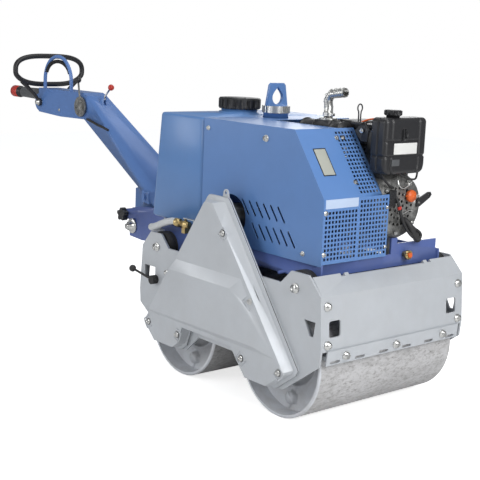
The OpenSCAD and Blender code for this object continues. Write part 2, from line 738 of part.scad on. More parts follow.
module case_back_plate() {
  color("silver") difference() {
    plate_y(case_outline, -plate_out - back_plate_t, back_plate_t);
    for (x = [-axle_x, axle_x])
      translate([x, 0, axle_z]) rod_y(boss_d + 2, -plate_out - 2 * back_plate_t, -plate_out + overrun);
    translate([motor_x, 0, motor_z])
      rod_y(motor_shaft_d + 4 * bolt_gap, -plate_out - 2 * back_plate_t, -plate_out + overrun);
  }
}
module case_seal() {
  color("black") difference() {
    plate_y(inset(case_outline, 1), -cover_base, seal_t);
    plate_y(inset(case_foot, case_wall), -cover_base - overrun, seal_t + 2 * overrun);
  }
}
module chain_cover() {
  color("silver") difference() {
    union() {
      plate_y(case_outline, -cover_base - case_wall, case_wall);
      loft([at_y(case_foot, -cover_base - case_wall / 2), at_y(case_ridge, -cover_face)]);
      difference() {
        loft([at_y(raise_low, -cover_face + 1), at_y(raise_high, -cover_face - raise_h)]);
        translate([channel_at[0], -cover_face, channel_at[1]]) rotate([90, 0, 0])
          linear_extrude(2 * raise_h) rotate(38) soft_square([channel_w, channel_len], channel_w / 2.2);
      }
    }
    plate_y(inset(case_ridge, case_wall), -cover_face + case_wall, 2 * case_depth);
    plate_y(inset((case_foot + case_ridge) / 2, case_wall), -(cover_face + cover_base) / 2, 2 * case_depth);
  }
}
// Bolts of the chain cover and of the hood
module cover_bolts() {
  union() {
    for (b = face_bolts) translate([b[0], -cover_face, b[1]]) bolt_head_y(cover_bolt_d);
    translate([spacer_bolt[0], -cover_base - case_wall, spacer_bolt[1]]) {
      rod_y(1.8 * cover_bolt_d, -spacer_len, 0);
      translate([0, -spacer_len, 0]) bolt_head_y(cover_bolt_d);
    }
    for (q = hood_screws_at) translate([q[0], -hood_y, q[1]]) {
      bolt_head_y(screw_d * (q[1] < hood_z + 100 || q[0] < 0 ? 1 : 1.4));
      rod_y(screw_d, 0, 4 * sheet_t);
    }
    for (z = [hood_z + 40, nose_z - strip_drop - 16], y = [-inner_y, grille_y - mesh_pitch])
      translate([nose_x, y + mesh_pitch / 2, z]) bolt_head_x(screw_d * (y < 0 - mesh_pitch ? 1 : 0.7));
  }
}

// Rubber buffers between the side plates' lugs and the upper frame's cheeks
cheek_t = 8;
buffer_gap = 0.3;
buffer_plate_t = 5;
module rubber_buffers() {
  color("black") both_sides() for (x = [-rear_buffer_x, front_buffer_x])
    translate([x, 0, buffer_z]) {
      rod_y(buffer_d - 12, -plate_in + buffer_plate_t, -cheek_y - buffer_plate_t);
      rod_y(buffer_d, -plate_in + buffer_plate_t * 2, -cheek_y - 2 * buffer_plate_t);
      rod_y(buffer_d - 4, -plate_in, -plate_in + buffer_plate_t);
      rod_y(buffer_d - 4, -cheek_y - buffer_plate_t, -cheek_y);
    }
}
panel_bolt_d = 14;
module frame_bolts() {
  color("lightgray") {
    cover_bolts();
    both_sides() {
      for (x = [-rear_buffer_x, front_buffer_x])
        translate([x, -plate_out, buffer_z]) {
          bolt_head_y(buffer_bolt_d);
          rod_y(buffer_bolt_d, 0, plate_t);
        }
    }
    for (e = [[front_reach, 0], [rear_reach, 1]]) mirror([e[1], 0, 0]) translate([e[0], 0, 0]) {
      for (y = [-strip_bolt_y, 0, strip_bolt_y])
        translate([(fold_lean + strip_lean) / 2 + strip_t, y, (strip_top + strip_z) / 2])
          rotate([0, atan((fold_lean - strip_lean) / (strip_top - strip_z)), 0]) bolt_head_x(panel_bolt_d);
      for (s = [-1, 1]) for (z = [bend_z - 32, fold_z + 16])
        translate([fold_lean * (bend_z - z) / (bend_z - fold_z), s * (panel_half - 20), z])
          rotate([0, -atan(fold_lean / (bend_z - fold_z)), 0]) bolt_head_x(panel_bolt_d);
    }
  }
}

// Upper frame: two cheek plates on the buffers, a floor, a rear wall, tank saddles and the
// tongue that carries the drawbar
floor_t = 8;
cheek_top = 545;
cheek_in = cheek_y - cheek_t;
lobe_r = buffer_d / 2 + 6;
rail_z = floor_z - 14;
cheek_rear = rear_reach - 27;
lobe_low = buffer_z - lobe_r + 6;
cheek_outline = [
  [nose_x, cheek_top], [-cheek_rear + 8, cheek_top], [-cheek_rear + 8, lug_top + 5], [-cheek_rear + 36, lug_top + 2],
  [-cheek_rear + 36, lug_top - 8], [-cheek_rear, buffer_z + 3], [-cheek_rear, buffer_z - 20],
  [-rear_buffer_x - 32, lobe_low], [-rear_buffer_x + 30, lobe_low], [-rear_buffer_x + lobe_r, buffer_z - 20],
  [-rear_buffer_x + lobe_r + 14, rail_z], [front_buffer_x - lobe_r - 6, rail_z],
  [front_buffer_x - lobe_r + 10, buffer_z - 24], [front_buffer_x - 24, lobe_low],
  [front_buffer_x + 28, lobe_low], [nose_x, buffer_z - 32]
];
frame_front = nose_x - 14;
frame_rear = cheek_rear - 36;
wall_rear = cheek_rear - 8;
wall_top = 560;
saddle_w = 18;
saddle_at = [-frame_rear + 20, -tank_front_x - 74];
tongue_y = 92;
tongue_t = 8;
tongue_outline = [
  [-pivot_back - 22, pivot_z - 46], [-pivot_back + 72, pivot_z - 52], [-rear_reach - 35, bend_z - 34],
  [-rear_reach - 16, bend_z - 4], [-wall_rear + 2, bend_z + 74], [-wall_rear + 2, wall_top],
  [-pivot_back + 345, wall_top], [-pivot_back + 40, wall_top - 30], [-pivot_back - 6, wall_top - 40],
  [-pivot_back - 30, pivot_z + 30]
];
tube_d = 44;
tongue_tube_in = 325;
tongue_tube_x = pivot_back - tongue_tube_in;
wing_in = 6;
wing_y = [80, cheek_y - wing_in];
wing_z = 580;
riser_y = 200;
cock_x = wheelbase / 2 + 18;
cock_len = 62;
riser_x = cock_x - 2 * cock_len / 3;
feed_d = 15;
feed_z = (cheek_top + tank_z) / 2;
pipe_d = 20;
knob_x = pivot_back - 16;
knob_z = pivot_z + 58;
knob_boss_d = 45;
knob_boss_len = 46;
knob_screw_d = 14;
bracket_y = [52, 82];
bracket_z = 600;
stud_x = 240;
stud_d = 12;
module upper_frame() {
  color("slateblue") difference() {
    union() {
      both_sides() plate_y(cheek_outline, -cheek_y, cheek_t);
      block([-frame_rear, -cheek_in, floor_z], [frame_front, cheek_in, floor_z + floor_t]);
      block([-frame_rear, -cheek_in, floor_z], [-frame_rear + floor_t, cheek_in, lug_top + 13]);
      block([-wall_rear, -cheek_in, lug_top + 5], [-frame_rear + floor_t, cheek_in, lug_top + 13]);
      block([-wall_rear, -cheek_in, lug_top + 5], [-wall_rear + floor_t, cheek_in, wall_top]);
      block([frame_front - floor_t, -cheek_in, floor_z], [frame_front, cheek_in, cheek_top]);
      block([frame_front - floor_t, wing_y[0], floor_z], [frame_front, wing_y[1], wing_z]);
      block([frame_front - floor_t, bracket_y[0], floor_z], [frame_front, bracket_y[1], bracket_z]);
      for (x = saddle_at) {
        block([x - saddle_w / 2, -cheek_in, cheek_top - 12], [x + saddle_w / 2, cheek_in, tank_z]);
        for (s = [-1, 1]) translate([0, s * cheek_in / 2, 0])
          block([x - saddle_w / 2, -floor_t, floor_z], [x + saddle_w / 2, floor_t, cheek_top]);
      }
      both_sides() plate_y(tongue_outline, -tongue_y - tongue_t, tongue_t);
      translate([-knob_x, 0, knob_z]) rod_y(knob_boss_d, -tongue_y - tongue_t - knob_boss_len, -tongue_y - tongue_t / 2);
      translate([-tongue_tube_x, 0, pivot_z + 52]) rod_y(tube_d, -tongue_y - tongue_t, tongue_y + tongue_t);
      translate([stud_x, 0, floor_z - 8]) rod_y(stud_d, -cheek_y - stud_d * 2, -cheek_y);
    }
    translate([-pivot_back, 0, pivot_z]) rod_y(pivot_d, -2 * tongue_y, 2 * tongue_y);
    translate([-knob_x, 0, knob_z]) rod_y(knob_screw_d + 2 * run_gap, -3 * tongue_y, -tongue_y + overrun);
    translate([-riser_x, riser_y, floor_z - floor_t]) cylinder(d = pipe_d, h = 3 * floor_t);
    for (x = [-rear_buffer_x, front_buffer_x]) translate([x, 0, buffer_z])
      for (s = [-1, 1]) rod_y(buffer_bolt_d, s * cheek_y - 2 * cheek_t, s * cheek_y + 2 * cheek_t);
  }
}

// Water tank with its filler neck and cap
tank_shoulder = 9;
tank_top = hood_top_z;
neck_z = tank_top + 18;
neck_d = cap_d - 12;
fill_d = neck_d - 24;
cap_x = 375;
cap_ribs = 40;
outlet_x = 486;
outlet_in = 42;
outlet_y = cheek_y - outlet_in;
outlet_d = 22;
outlet_len = 4;
function tank_ring(z, lean, d) = [
  for (p = rounded_ring([
    [-tank_front_x - d, cheek_y - d], [-tank_front_x - tank_len - lean + d, cheek_y - d],
    [-tank_front_x - tank_len - lean + d, -cheek_y + d], [-tank_front_x - d, -cheek_y + d]
  ], max(tank_r - d, tank_r / 4))) [p[0], p[1], z]
];
module tank_body(wall) {
  loft([
    tank_ring(tank_z + wall, tank_lean, wall + tank_shoulder),
    tank_ring(tank_z + wall + tank_shoulder, tank_lean - tank_shoulder * 0.1, wall),
    tank_ring(tank_top - wall - tank_shoulder, tank_shoulder * 0.1, wall),
    tank_ring(tank_top - wall - tank_shoulder / 4, 0, wall + tank_shoulder / 3),
    tank_ring(tank_top - wall, 0, wall + tank_shoulder)
  ]);
}
module water_tank() {
  color("royalblue") difference() {
    union() {
      tank_body(0);
      translate([-cap_x, 0, tank_top - tank_wall]) cylinder(d = neck_d + 8, h = tank_wall + 7);
      translate([-cap_x, 0, tank_top]) cylinder(d = neck_d - 10, h = neck_z - tank_top);
      translate([-outlet_x, -outlet_y, tank_z - outlet_len]) cylinder(d = outlet_d, h = 3 * outlet_len);
    }
    tank_body(tank_wall);
    translate([-cap_x, 0, tank_top - 3 * tank_wall]) cylinder(d = fill_d, h = 3 * tank_wall + cap_h);
    translate([-outlet_x, -outlet_y, tank_z - 2 * outlet_len]) cylinder(d = outlet_d - 8, h = 8 * outlet_len);
  }
}
cap_wall = 4;
module water_cap() {
  color("black") translate([-cap_x, 0, neck_z]) {
    difference() {
      union() {
        cylinder(d = cap_d - 5, h = cap_h);
        for (k = [0 : cap_ribs - 1]) rotate(360 * k / cap_ribs)
          translate([cap_d / 2 - 5, -cap_d / 60, cap_h / 10]) cube([5, cap_d / 30, 0.8 * cap_h]);
      }
      translate([0, 0, seat_gap - cap_h]) cylinder(d = cap_d - 20, h = cap_h + cap_h / 4);
    }
  }
}
hose_d = 27;
hose_wall = 3.5;
hose_y = plate_in - 1;
hose_end = [-cock_x, -hose_y, tank_z + 12];
hose_path = led([
  [-outlet_x, -outlet_y, tank_z - outlet_len], [-outlet_x, -outlet_y, tank_z - 20],
  [-outlet_x - 1, -outlet_y - 10, tank_z - 36], [-outlet_x - 2, -outlet_y - 33, tank_z - 46],
  [-outlet_x - 1, -outlet_y - 62, tank_z - 41], [-outlet_x + 16, -hose_y + 6, tank_z - 33],
  [-outlet_x + 50, -hose_y, tank_z - 25], [-cock_x - 90, -hose_y, tank_z - 2],
  hose_end - [40, 0, 0], hose_end
], 6, 18);
module water_hose() {
  color("lightgray") difference() {
    run(hose_path, hose_d, 12);
    run(concat([hose_path[0] + [0, 0, overrun]], hose_path, [hose_end + [overrun, 0, 0]]),
      hose_d - 2 * hose_wall, 12);
  }
}
// The water cock with its tee and riser
module water_cock() {
  drop = tank_z + 12 - feed_z;
  translate([0, -hose_y, tank_z + 12]) {
    difference() {
      rod_x(hose_d + 5, -cock_x - 14, -cock_x + 4);
      rod_x(hose_d + 2 * seat_gap, -cock_x - 16, -cock_x);
    }
    rod_x(14, -cock_x, -cock_x + cock_len);
    rod_x(24, -cock_x + cock_len / 3, -cock_x + cock_len);
    translate([-riser_x, 0, 0]) sphere(d = 30);
    translate([-riser_x, 0, -drop]) cylinder(d = pipe_d, h = drop);
    translate([-riser_x, 0, -drop]) cube(pipe_d, center = true);
  }
}
cock_lever_len = 58;
module cock_lever() {
  color("lightgray") translate([-cock_x + 2 * cock_len / 3, -hose_y, tank_z + 27 + seat_gap]) {
    cylinder(d = 12, h = 9);
    block([-7, -7, 6], [cock_lever_len, 7, 9]);
    block([cock_lever_len - 3, -7, -8], [cock_lever_len, 7, 9]);
  }
}
bar_z = 444;
bar_x = 232;
spray_in = 42;
bar_half = plate_in - spray_in;
module sprinkler_pipes() {
  color("dimgray") {
    translate([-riser_x, 0, feed_z]) rod_y(feed_d, pipe_d / 2 - hose_y, riser_y);
    translate([-riser_x, riser_y, bar_z]) cylinder(d = pipe_d, h = feed_z + feed_d / 2 + seat_gap - bar_z);
    translate([0, riser_y, bar_z]) rod_x(pipe_d, -bar_x, bar_x);
    for (x = [-bar_x, bar_x]) translate([x, 0, bar_z]) difference() {
      rod_y(pipe_d + 2, -bar_half, bar_half);
      for (y = [-8 : 8]) translate([0, y * bar_half / 9, -pipe_d]) cylinder(d = 3, h = pipe_d);
    }
  }
}

// Scraper adjuster at the rear: a rubber boot and a bent rod with a ball grip
boot_x = rear_buffer_x + 2;
boot_z = 341;
boot_d = 34;
boot_len = 24;
ball_d = 27;
module ball_lever() {
  start = [-boot_x, -plate_out - boot_len / 2, boot_z + 2];
  finish = [-boot_x - 88, -plate_out - 48, boot_z + 31];
  color("black") {
    translate([-boot_x, -plate_out - seat_gap, boot_z]) rod_y(boot_d, -boot_len, 0);
    run([start, start + [-20, -14, 6], finish], 9, 10);
    translate(finish) rotate(180) sphere(d = ball_d);
  }
}

// Hood: a side panel with louvres, top and rear sheets, a solid slope and a pierced front
louvre_w = 8;
louvre_len = 64;
louvre_pitch = 37;
louvre_tilt = 37;
louvres = 6;
louvre_rows = [[30, 680], [85, 605]];
motor_hole_d = 156;
hood_rear = tank_front_x - 2;
inner_y = hood_y - sheet_t;
solid_y = -132;
pierced_y = -24;
pierced_top_y = -95;
grille_y = 11;
strip_drop = 27;
post_x = 163;
post_d = 93;
post_gap = 3;
slope = unit([nose_x - brow_x, nose_z - hood_top_z]);
slope_len = norm([nose_x - brow_x, nose_z - hood_top_z]);
hood_outline = [
  [-hood_rear, hood_z], [nose_x, hood_z], [nose_x, nose_z], [brow_x, hood_top_z], [-hood_rear, hood_top_z]
];
screw_d = 8;
hood_screws_at = [[-189, 934], [125, 926], [329, 569]];
module hood_side() {
  color("royalblue") difference() {
    plate_y(hood_outline, -hood_y, sheet_t);
    translate([motor_x, 0, motor_z]) rod_y(motor_hole_d, -hood_y - overrun, -inner_y + overrun);
    for (row = louvre_rows) for (k = [0 : louvres - 1])
      translate([row[0] + k * louvre_pitch, -hood_y - overrun, row[1]]) rotate([-90, 0, 0])
        linear_extrude(sheet_t + 2 * overrun) rotate(-louvre_tilt) slot(louvre_w, louvre_len);
    for (q = hood_screws_at) translate([q[0], 0, q[1]])
      rod_y(screw_d + 2 * bolt_gap, -hood_y - overrun, -inner_y + overrun);
  }
}
module hood_top() {
  color("royalblue") difference() {
    union() {
      block([-hood_rear, -inner_y, hood_top_z - sheet_t], [-post_x + post_d, inner_y, hood_top_z]);
      block([-post_x + post_d / 2, -inner_y, hood_top_z - sheet_t], [brow_x, solid_y, hood_top_z]);
      block([-hood_rear, -inner_y, cheek_top], [-hood_rear + sheet_t, inner_y, hood_top_z]);
      block([-hood_rear, inner_y, cheek_top], [-post_x + post_d, hood_y, hood_top_z]);
    }
    translate([-post_x, 0, hood_z]) cylinder(d = post_d + 2 * post_gap, h = hood_top_z);
  }
}
module hood_front() {
  color("royalblue") {
    plate_y([[brow_x, hood_top_z], [brow_x, hood_top_z - sheet_t], [nose_x - sheet_t, nose_z - sheet_t],
      [nose_x - sheet_t, nose_z - strip_drop], [nose_x, nose_z - strip_drop], [nose_x, nose_z]],
      -inner_y, inner_y + solid_y);
    block([nose_x - sheet_t * 7, -inner_y, hood_z + sheet_t * 3], [nose_x - sheet_t, -inner_y + 3, nose_z - strip_drop]);
  }
}
// A pierced sheet in the X-Y plane, from the corner at the origin
module pierced(size) {
  cols = floor((size[0] - mesh_pitch / 2) / mesh_pitch);
  rows = floor((size[1] - mesh_pitch / 2) / mesh_pitch);
  x0 = (size[0] - (cols - 1) * mesh_pitch - mesh_hole) / 2;
  y0 = (size[1] - (rows - 1) * mesh_pitch - mesh_hole) / 2;
  linear_extrude(sheet_t) difference() {
    square(size);
    for (i = [0 : cols - 1]) for (j = [0 : rows - 1])
      translate([x0 + i * mesh_pitch, y0 + j * mesh_pitch]) square(mesh_hole);
  }
}
module front_grille() {
  top_from = -post_x + post_d;
  low = cheek_top + seat_gap;
  color("royalblue") {
    translate([nose_x, -inner_y, low]) rotate([0, -90, 0])
      pierced([nose_z - strip_drop - low, inner_y + solid_y]);
    translate([nose_x, solid_y, low]) rotate([0, -90, 0])
      pierced([nose_z - low, grille_y - solid_y]);
    translate([brow_x, solid_y, hood_top_z]) rotate([0, atan2(-slope[1], slope[0]), 0])
      translate([0, 0, -sheet_t]) pierced([slope_len, pierced_y - solid_y]);
    translate([top_from, solid_y, hood_top_z - sheet_t]) pierced([brow_x - top_from, pierced_top_y - solid_y]);
  }
}
// Lifting post with a toothed collar and an eye plate
collar_d = 104;
collar_z = 985;
collar_t = 27;
collar_teeth = 32;
eye_t = 14;
eye_top = 1095;
eye_w = 100;
eye_top_w = 74;
eye_hole = [52, 62];
module lifting_eye() {
  color("royalblue") translate([-post_x, 0, 0]) {
    difference() {
      translate([0, 0, floor_z + floor_t]) cylinder(d = post_d, h = collar_z - floor_z - floor_t);
      translate([0, 0, floor_z]) cylinder(d = post_d - 12, h = collar_z - floor_z - 8);
    }
    difference() {
      translate([0, 0, collar_z]) cylinder(d = collar_d - 4, h = collar_t);
      translate([0, 0, collar_z + 8]) cylinder(d = collar_d - 16, h = collar_t);
    }
    for (k = [0 : collar_teeth - 1]) rotate(360 * k / collar_teeth)
      translate([collar_d / 2 - 4, -2, collar_z + 2]) cube([4, 4, collar_t - 2]);
    plate_z = eye_top - collar_z;
    translate([eye_t / 2, 0, collar_z]) rotate([90, 0, -90]) linear_extrude(eye_t) difference() {
      polygon([[-eye_w / 2 + 6, 0], [eye_w / 2 - 6, 0], [eye_w / 2 - 6, collar_t], [eye_w / 2, collar_t],
        [eye_top_w / 2, plate_z - 8], [eye_top_w / 2 - 8, plate_z],
        [-eye_top_w / 2 + 8, plate_z], [-eye_top_w / 2, plate_z - 8], [-eye_w / 2, collar_t], [-eye_w / 2 + 6, collar_t]]);
      translate([0, collar_t + eye_hole[0] / 2 + 4]) {
        circle(d = eye_hole[0]);
        polygon([[-eye_hole[0] / 2, 0], [eye_hole[0] / 2, 0], [eye_hole[0] / 3, eye_hole[1] / 3], [0, eye_hole[1] / 2 + 8],
          [-eye_hole[0] / 3, eye_hole[1] / 3]]);
      }
    }
  }
}

// Engine: crankcase on feet, finned cylinder, blower housing with flywheel fan, fuel tank
shaft_d = 28;
case_x = [132, 309];
case_half = 92;
case_low = 575;
case_high = 800;
foot_t = 10;
feet_x = [150, 290];
module at_crank() {
  translate([0, crank_y, crank_z]) children();
}
module crankcase() {
  color("silver") difference() {
    union() {
      translate([0, crank_y, 0]) plate_x([
        [-case_half, case_low + 24], [24 - case_half, case_low], [case_half - 24, case_low], [case_half, case_low + 24],
        [case_half, case_high - 60], [case_half - 60, case_high], [60 - case_half, case_high], [-case_half, case_high - 60]
      ], case_x[0], case_x[1] - case_x[0]);
      at_crank() rod_x(1.5 * case_half, case_x[0] - 14, case_x[1]);
      for (x = feet_x) for (s = [-1, 1])
        block([x - 12, crank_y + s * (case_half - 20) - 12, floor_z + floor_t], [x + 12, crank_y + s * (case_half - 20) + 12, case_low + 30]);
      for (s = [-1, 1])
        block([feet_x[0] - 20, crank_y + s * (case_half - 20) - 20, floor_z + floor_t],
          [feet_x[1] + 20, crank_y + s * (case_half - 20) + 20, floor_z + floor_t + foot_t]);
      translate([case_x[1] - 84, crank_y + case_half - 6, case_low + 52]) rod_y(60, 0, 26);
      translate([case_x[1] - 60, 0, case_low + 20]) rod_y(34, crank_y - case_half - 12, crank_y);
    }
    at_crank() rod_x(shaft_d + 2 * run_gap, case_x[0] - 3 * foot_t, case_x[1] + overrun);
  }
}
fins = 9;
fin_t = 4;
cyl_x = [166, 286];
cyl_half = 58;
cyl_len = 158;
cyl_top = case_high + cyl_len;
module cylinder_fins(t, pitch) {
  for (k = [0 : fins - 1])
    block([cyl_x[0], crank_y - cyl_half, case_high + pitch * (k + 0.6)],
      [cyl_x[1], crank_y + cyl_half, case_high + pitch * (k + 0.6) + t]);
}
module cylinder_block() {
  color("gray") {
    block([cyl_x[0] + 16, crank_y - cyl_half + 14, case_high], [cyl_x[1] - 16, crank_y + cyl_half - 14, cyl_top - 20]);
    cylinder_fins(fin_t, (cyl_top - case_high - 24) / fins);
    block([cyl_x[0] + 8, crank_y - cyl_half + 6, cyl_top - 26], [cyl_x[1] - 8, crank_y + cyl_half - 6, cyl_top]);
  }
}
blower_wall = 3;
blower_back = blower_x - blower_len;
cowl_half = 62;
cowl_top = cyl_top + fin_t;
inlet_d = 150;
inlet_holes = [8, 14, 20];
oil_at = [blower_x + 4, 128, 743];
stop_pivot = [blower_x + 0.5, 176, 716];
stop_pin_d = 8;
module blower_housing() {
  color("dimgray") {
    translate([0, oil_at[1], oil_at[2]]) rod_x(28, blower_x - 1, oil_at[0] - seat_gap);
    translate([0, stop_pivot[1], stop_pivot[2]]) rod_x(stop_pin_d, blower_x - 1, blower_x + 11);
  }
  color("dimgray") difference() {
    union() {
      at_crank() rod_x(2 * blower_r - 12, blower_back, blower_x);
      at_crank() rod_x(2 * blower_r, blower_back, blower_x - 10);
      block([cyl_x[1] + 3, crank_y - cowl_half, crank_z], [blower_x - 22, crank_y + cowl_half, cowl_top]);
    }
    at_crank() rod_x(2 * (blower_r - blower_wall) - 10, blower_back - overrun, blower_x - blower_wall);
    block([cyl_x[1] - overrun, crank_y - cowl_half + blower_wall, crank_z + blower_r / 2],
      [blower_x - 22 - blower_wall, crank_y + cowl_half - blower_wall, cowl_top - blower_wall]);
    block([cyl_x[1] - overrun, crank_y - 2 * cowl_half, crank_z - blower_r], [blower_back, crank_y + 2 * cowl_half, case_high + fin_t]);
    for (ring = [0 : 2]) for (k = [0 : inlet_holes[ring] - 1])
      at_crank() rotate([360 * k / inlet_holes[ring], 0, 0])
        translate([0, 0, inlet_d * (ring + 1) / 7]) rod_x(11, blower_x - 3 * blower_wall, blower_x + overrun);
  }
}
wheel_r = 92;
blades = 12;
module flywheel() {
  color("gray") at_crank() {
    rod_x(shaft_d, -6, blower_x - 18);
    rod_x(2 * wheel_r, blower_back + 22, blower_back + 34);
    rod_x(60, blower_back + 22, blower_x - 30);
    for (k = [0 : blades - 1]) rotate([360 * k / blades, 0, 0])
      block([blower_back + 30, -2, wheel_r * 0.5], [blower_x - 32, 2, wheel_r - 4]);
  }
}
fuel_x = 378;
fuel_y = 44;
fuel_rib = 5;
module fuel_tank() {
  low = fuel_top_z - fuel_h;
  y0 = fuel_y - fuel_w / 2;
  y1 = fuel_y + fuel_w / 2;
  x1 = fuel_x + fuel_len;
  function face(x, d) = [for (p = rounded_ring([
    [y1 - d, low + 34], [y1 - d, fuel_top_z - d], [y0 + d, fuel_top_z - d], [y0 + d, low + 34],
    [y0 + 26, low + d], [y1 - 26, low + d]], 16, 4)) [x, p[0], p[1]]];
  color("black") difference() {
    union() {
      loft([face(fuel_x, 8), face(fuel_x + 8, 0), face(x1 - 10, 1), face(x1, 12)]);
      for (y = [y0 + 30, y1 - 30])
        block([x1 - 4, y - fuel_rib, low + 44], [x1 + 3, y + fuel_rib, fuel_top_z - 24]);
      block([x1 - 4, y0 + 30, low + 66], [x1 + 3, y1 - 30, low + 72]);
      block([x1 - 4, y0 + 30, low + 104], [x1 + 3, y1 - 30, low + 110]);
    }
    translate([0, fuel_y - 12, fuel_top_z - 62]) rod_x(30, x1 - 12, x1 + 10);
    translate([fuel_x + fuel_len / 2, fuel_y - 36, fuel_top_z - 3 * fuel_rib]) cylinder(d = 40, h = 4 * fuel_rib);
  }
  color("dimgray") block([cyl_x[1] - 4, crank_y - 14, cowl_top], [fuel_x + 4, crank_y + 14, cowl_top + 8]);
}
fuel_cap_d = 80;
module fuel_cap() {
  color("black") translate([fuel_x + fuel_len / 2, fuel_y - 36, fuel_top_z + seat_gap]) {
    cylinder(d = fuel_cap_d * 0.72, h = 6);
    cylinder(d = 38, h = 24);
    translate([0, 0, 6]) cylinder(d = fuel_cap_d * 0.86, h = 18);
    for (k = [0 : 11]) rotate(30 * k) translate([fuel_cap_d * 0.34, -5, 8]) cube([fuel_cap_d * 0.14, 10, 14]);
  }
}
oil_cap_d = 40;

module oil_cap() {
  color("orange") translate(oil_at) {
    rod_x(oil_cap_d, 0, 14);
    for (k = [0 : 7]) rotate([45 * k, 0, 0]) block([2, -3, oil_cap_d / 2 - 4], [12, 3, oil_cap_d / 2 + 1]);
  }
}
muffler_x = [55, 250];
muffler_y = -50;
muffler_top = 988;
muffler_r = 39;
exhaust_at = [165, muffler_y, muffler_top];
exhaust_wall = 2.5;
module muffler() {
  mid = muffler_top - muffler_r - 3;
  color("black") {
    translate([0, muffler_y, mid]) rod_x(2 * muffler_r, muffler_x[0], muffler_x[1]);
    for (x = [muffler_x[0] + 4, muffler_x[0] + 64, muffler_x[1] - 44, muffler_x[1] - 6])
      translate([0, muffler_y, mid]) rod_x(2 * muffler_r + 6, x, x + 4);
    block([exhaust_at[0] - exhaust_d, muffler_y - exhaust_d, mid], [exhaust_at[0] + exhaust_d, muffler_y + exhaust_d, muffler_top]);
    block([cyl_x[0] + 24, muffler_y, cyl_top - 22], [cyl_x[0] + 52, crank_y - cyl_half + 6, cyl_top - 2]);
  }
}
module exhaust_elbow() {
  path = [exhaust_at, exhaust_at + [0, 0, 42], exhaust_at + [-4, 0, 66], exhaust_at + [12, 0, 88],
    exhaust_at + [78, 0, 97]];
  color("lightgray") difference() {
    union() {
      run(path, exhaust_d, 12);
      translate(exhaust_at) cylinder(d = 1.9 * exhaust_d, h = 6);
    }
    run(concat([exhaust_at - [0, 0, overrun]], path, [path[4] + [overrun, 0, overrun / 7]]), exhaust_d - 2 * exhaust_wall, 12);
  }
}
drain_d = 22;
drain_path = led([
  [blower_x, 100, 660], [blower_x + 17, 100, 660], [blower_x + 32, 112, 640], [blower_x + 33, 132, 610],
  [blower_x + 23, 162, 590], [blower_x + 5, 188, 592], [blower_x - 25, 206, 606], [blower_x - 67, 212, 624],
  [case_x[1] - 8, 206, 634], [case_x[1] - 22, crank_y + case_half + 18, 634],
  [case_x[1] - 22, crank_y + case_half, 634]
], 3, 4);
module drain_hose() {
  color("black") run(drain_path, drain_d, 10);
}
// Brass end fitting on the upper frame's front
module drain_cap() {
  translate([frame_front, 119, cheek_top - 5]) {
    rod_x(20, 0, 14);
    translate([14, 0, 0]) rod_x(32, 0, 12);
  }
}
module brass_fittings() {
  color("goldenrod") {
    water_cock();
    drain_cap();
  }
}

module stop_lever() {
  color("black") difference() {
    plate_x([for (q = [[-10, -14], [6, -14], [58, 14], [66, 24], [60, 34], [48, 34], [-10, 10]])
      [stop_pivot[1] + q[0], stop_pivot[2] + q[1]]], stop_pivot[0], 6);
    translate([0, stop_pivot[1], stop_pivot[2]]) rod_x(stop_pin_d + 2 * run_gap, blower_x - 2, blower_x + 20);
    translate([0, stop_pivot[1] + 54, stop_pivot[2] + 24]) rod_x(8, stop_pivot[0] - overrun, stop_pivot[0] + 10);
  }
}
pump_x = [-4, 118];
module hydraulic_pump() {
  color("dimgray") difference() {
    union() {
      at_crank() {
        rod_x(106, pump_x[0], pump_x[1]);
        rod_x(132, pump_x[1] - 20, pump_x[1]);
        rod_x(84, pump_x[0] - 64, pump_x[0]);
      }
      for (s = [-1, 1]) translate([0, crank_y, crank_z + s * 30]) translate([pump_x[0] + 40, 0, 0]) rod_y(34, -66, 0);
    }
    at_crank() rod_x(shaft_d + 2 * run_gap, pump_x[0] - overrun * 3, pump_x[1] + overrun);
  }
}
module hydraulic_hoses() {
  px = pump_x[0] + 40;
  port_y = -plate_out + motor_len + port_len;
  color("black") for (s = [-1, 1])
    run(led([[px, crank_y - 66, crank_z + s * 30], [px, crank_y - 100, crank_z + s * 30],
      [px - 24, -90, crank_z + s * 24 - 20], [motor_x + s * motor_body_d / 5 + 12, -170, motor_z + 20 + s * 12],
      [motor_x + s * motor_body_d / 5, port_y + 22, motor_z], [motor_x + s * motor_body_d / 5, port_y, motor_z]], 4, 4), 20, 8);
}

// Drawbar: a tapered box beam with hinge lugs, and the control head on its end
bar_slope = 0.571;
bar_top_x = head_front - 35;
bar_top_z = head_top - 13;
bar_low_z = head_top - 121;
bar_end = pivot_back - 155;
bar_end_low = pivot_z + 82;
bar_end_top = pivot_z + 173;
lug_y = 64;
lug_t = 8;
sleeve_d = 46;
latch_at = [-pivot_back + 67, pivot_z + 132];
latch_size = [56, 56];
latch_hole = [19, 33];
latch_half = 84;
lever_pivot = [-head_front + 90, 0, head_top - 22];
lever_pin_d = 8;
clamp_d = 11;
clamp_gap = 2;
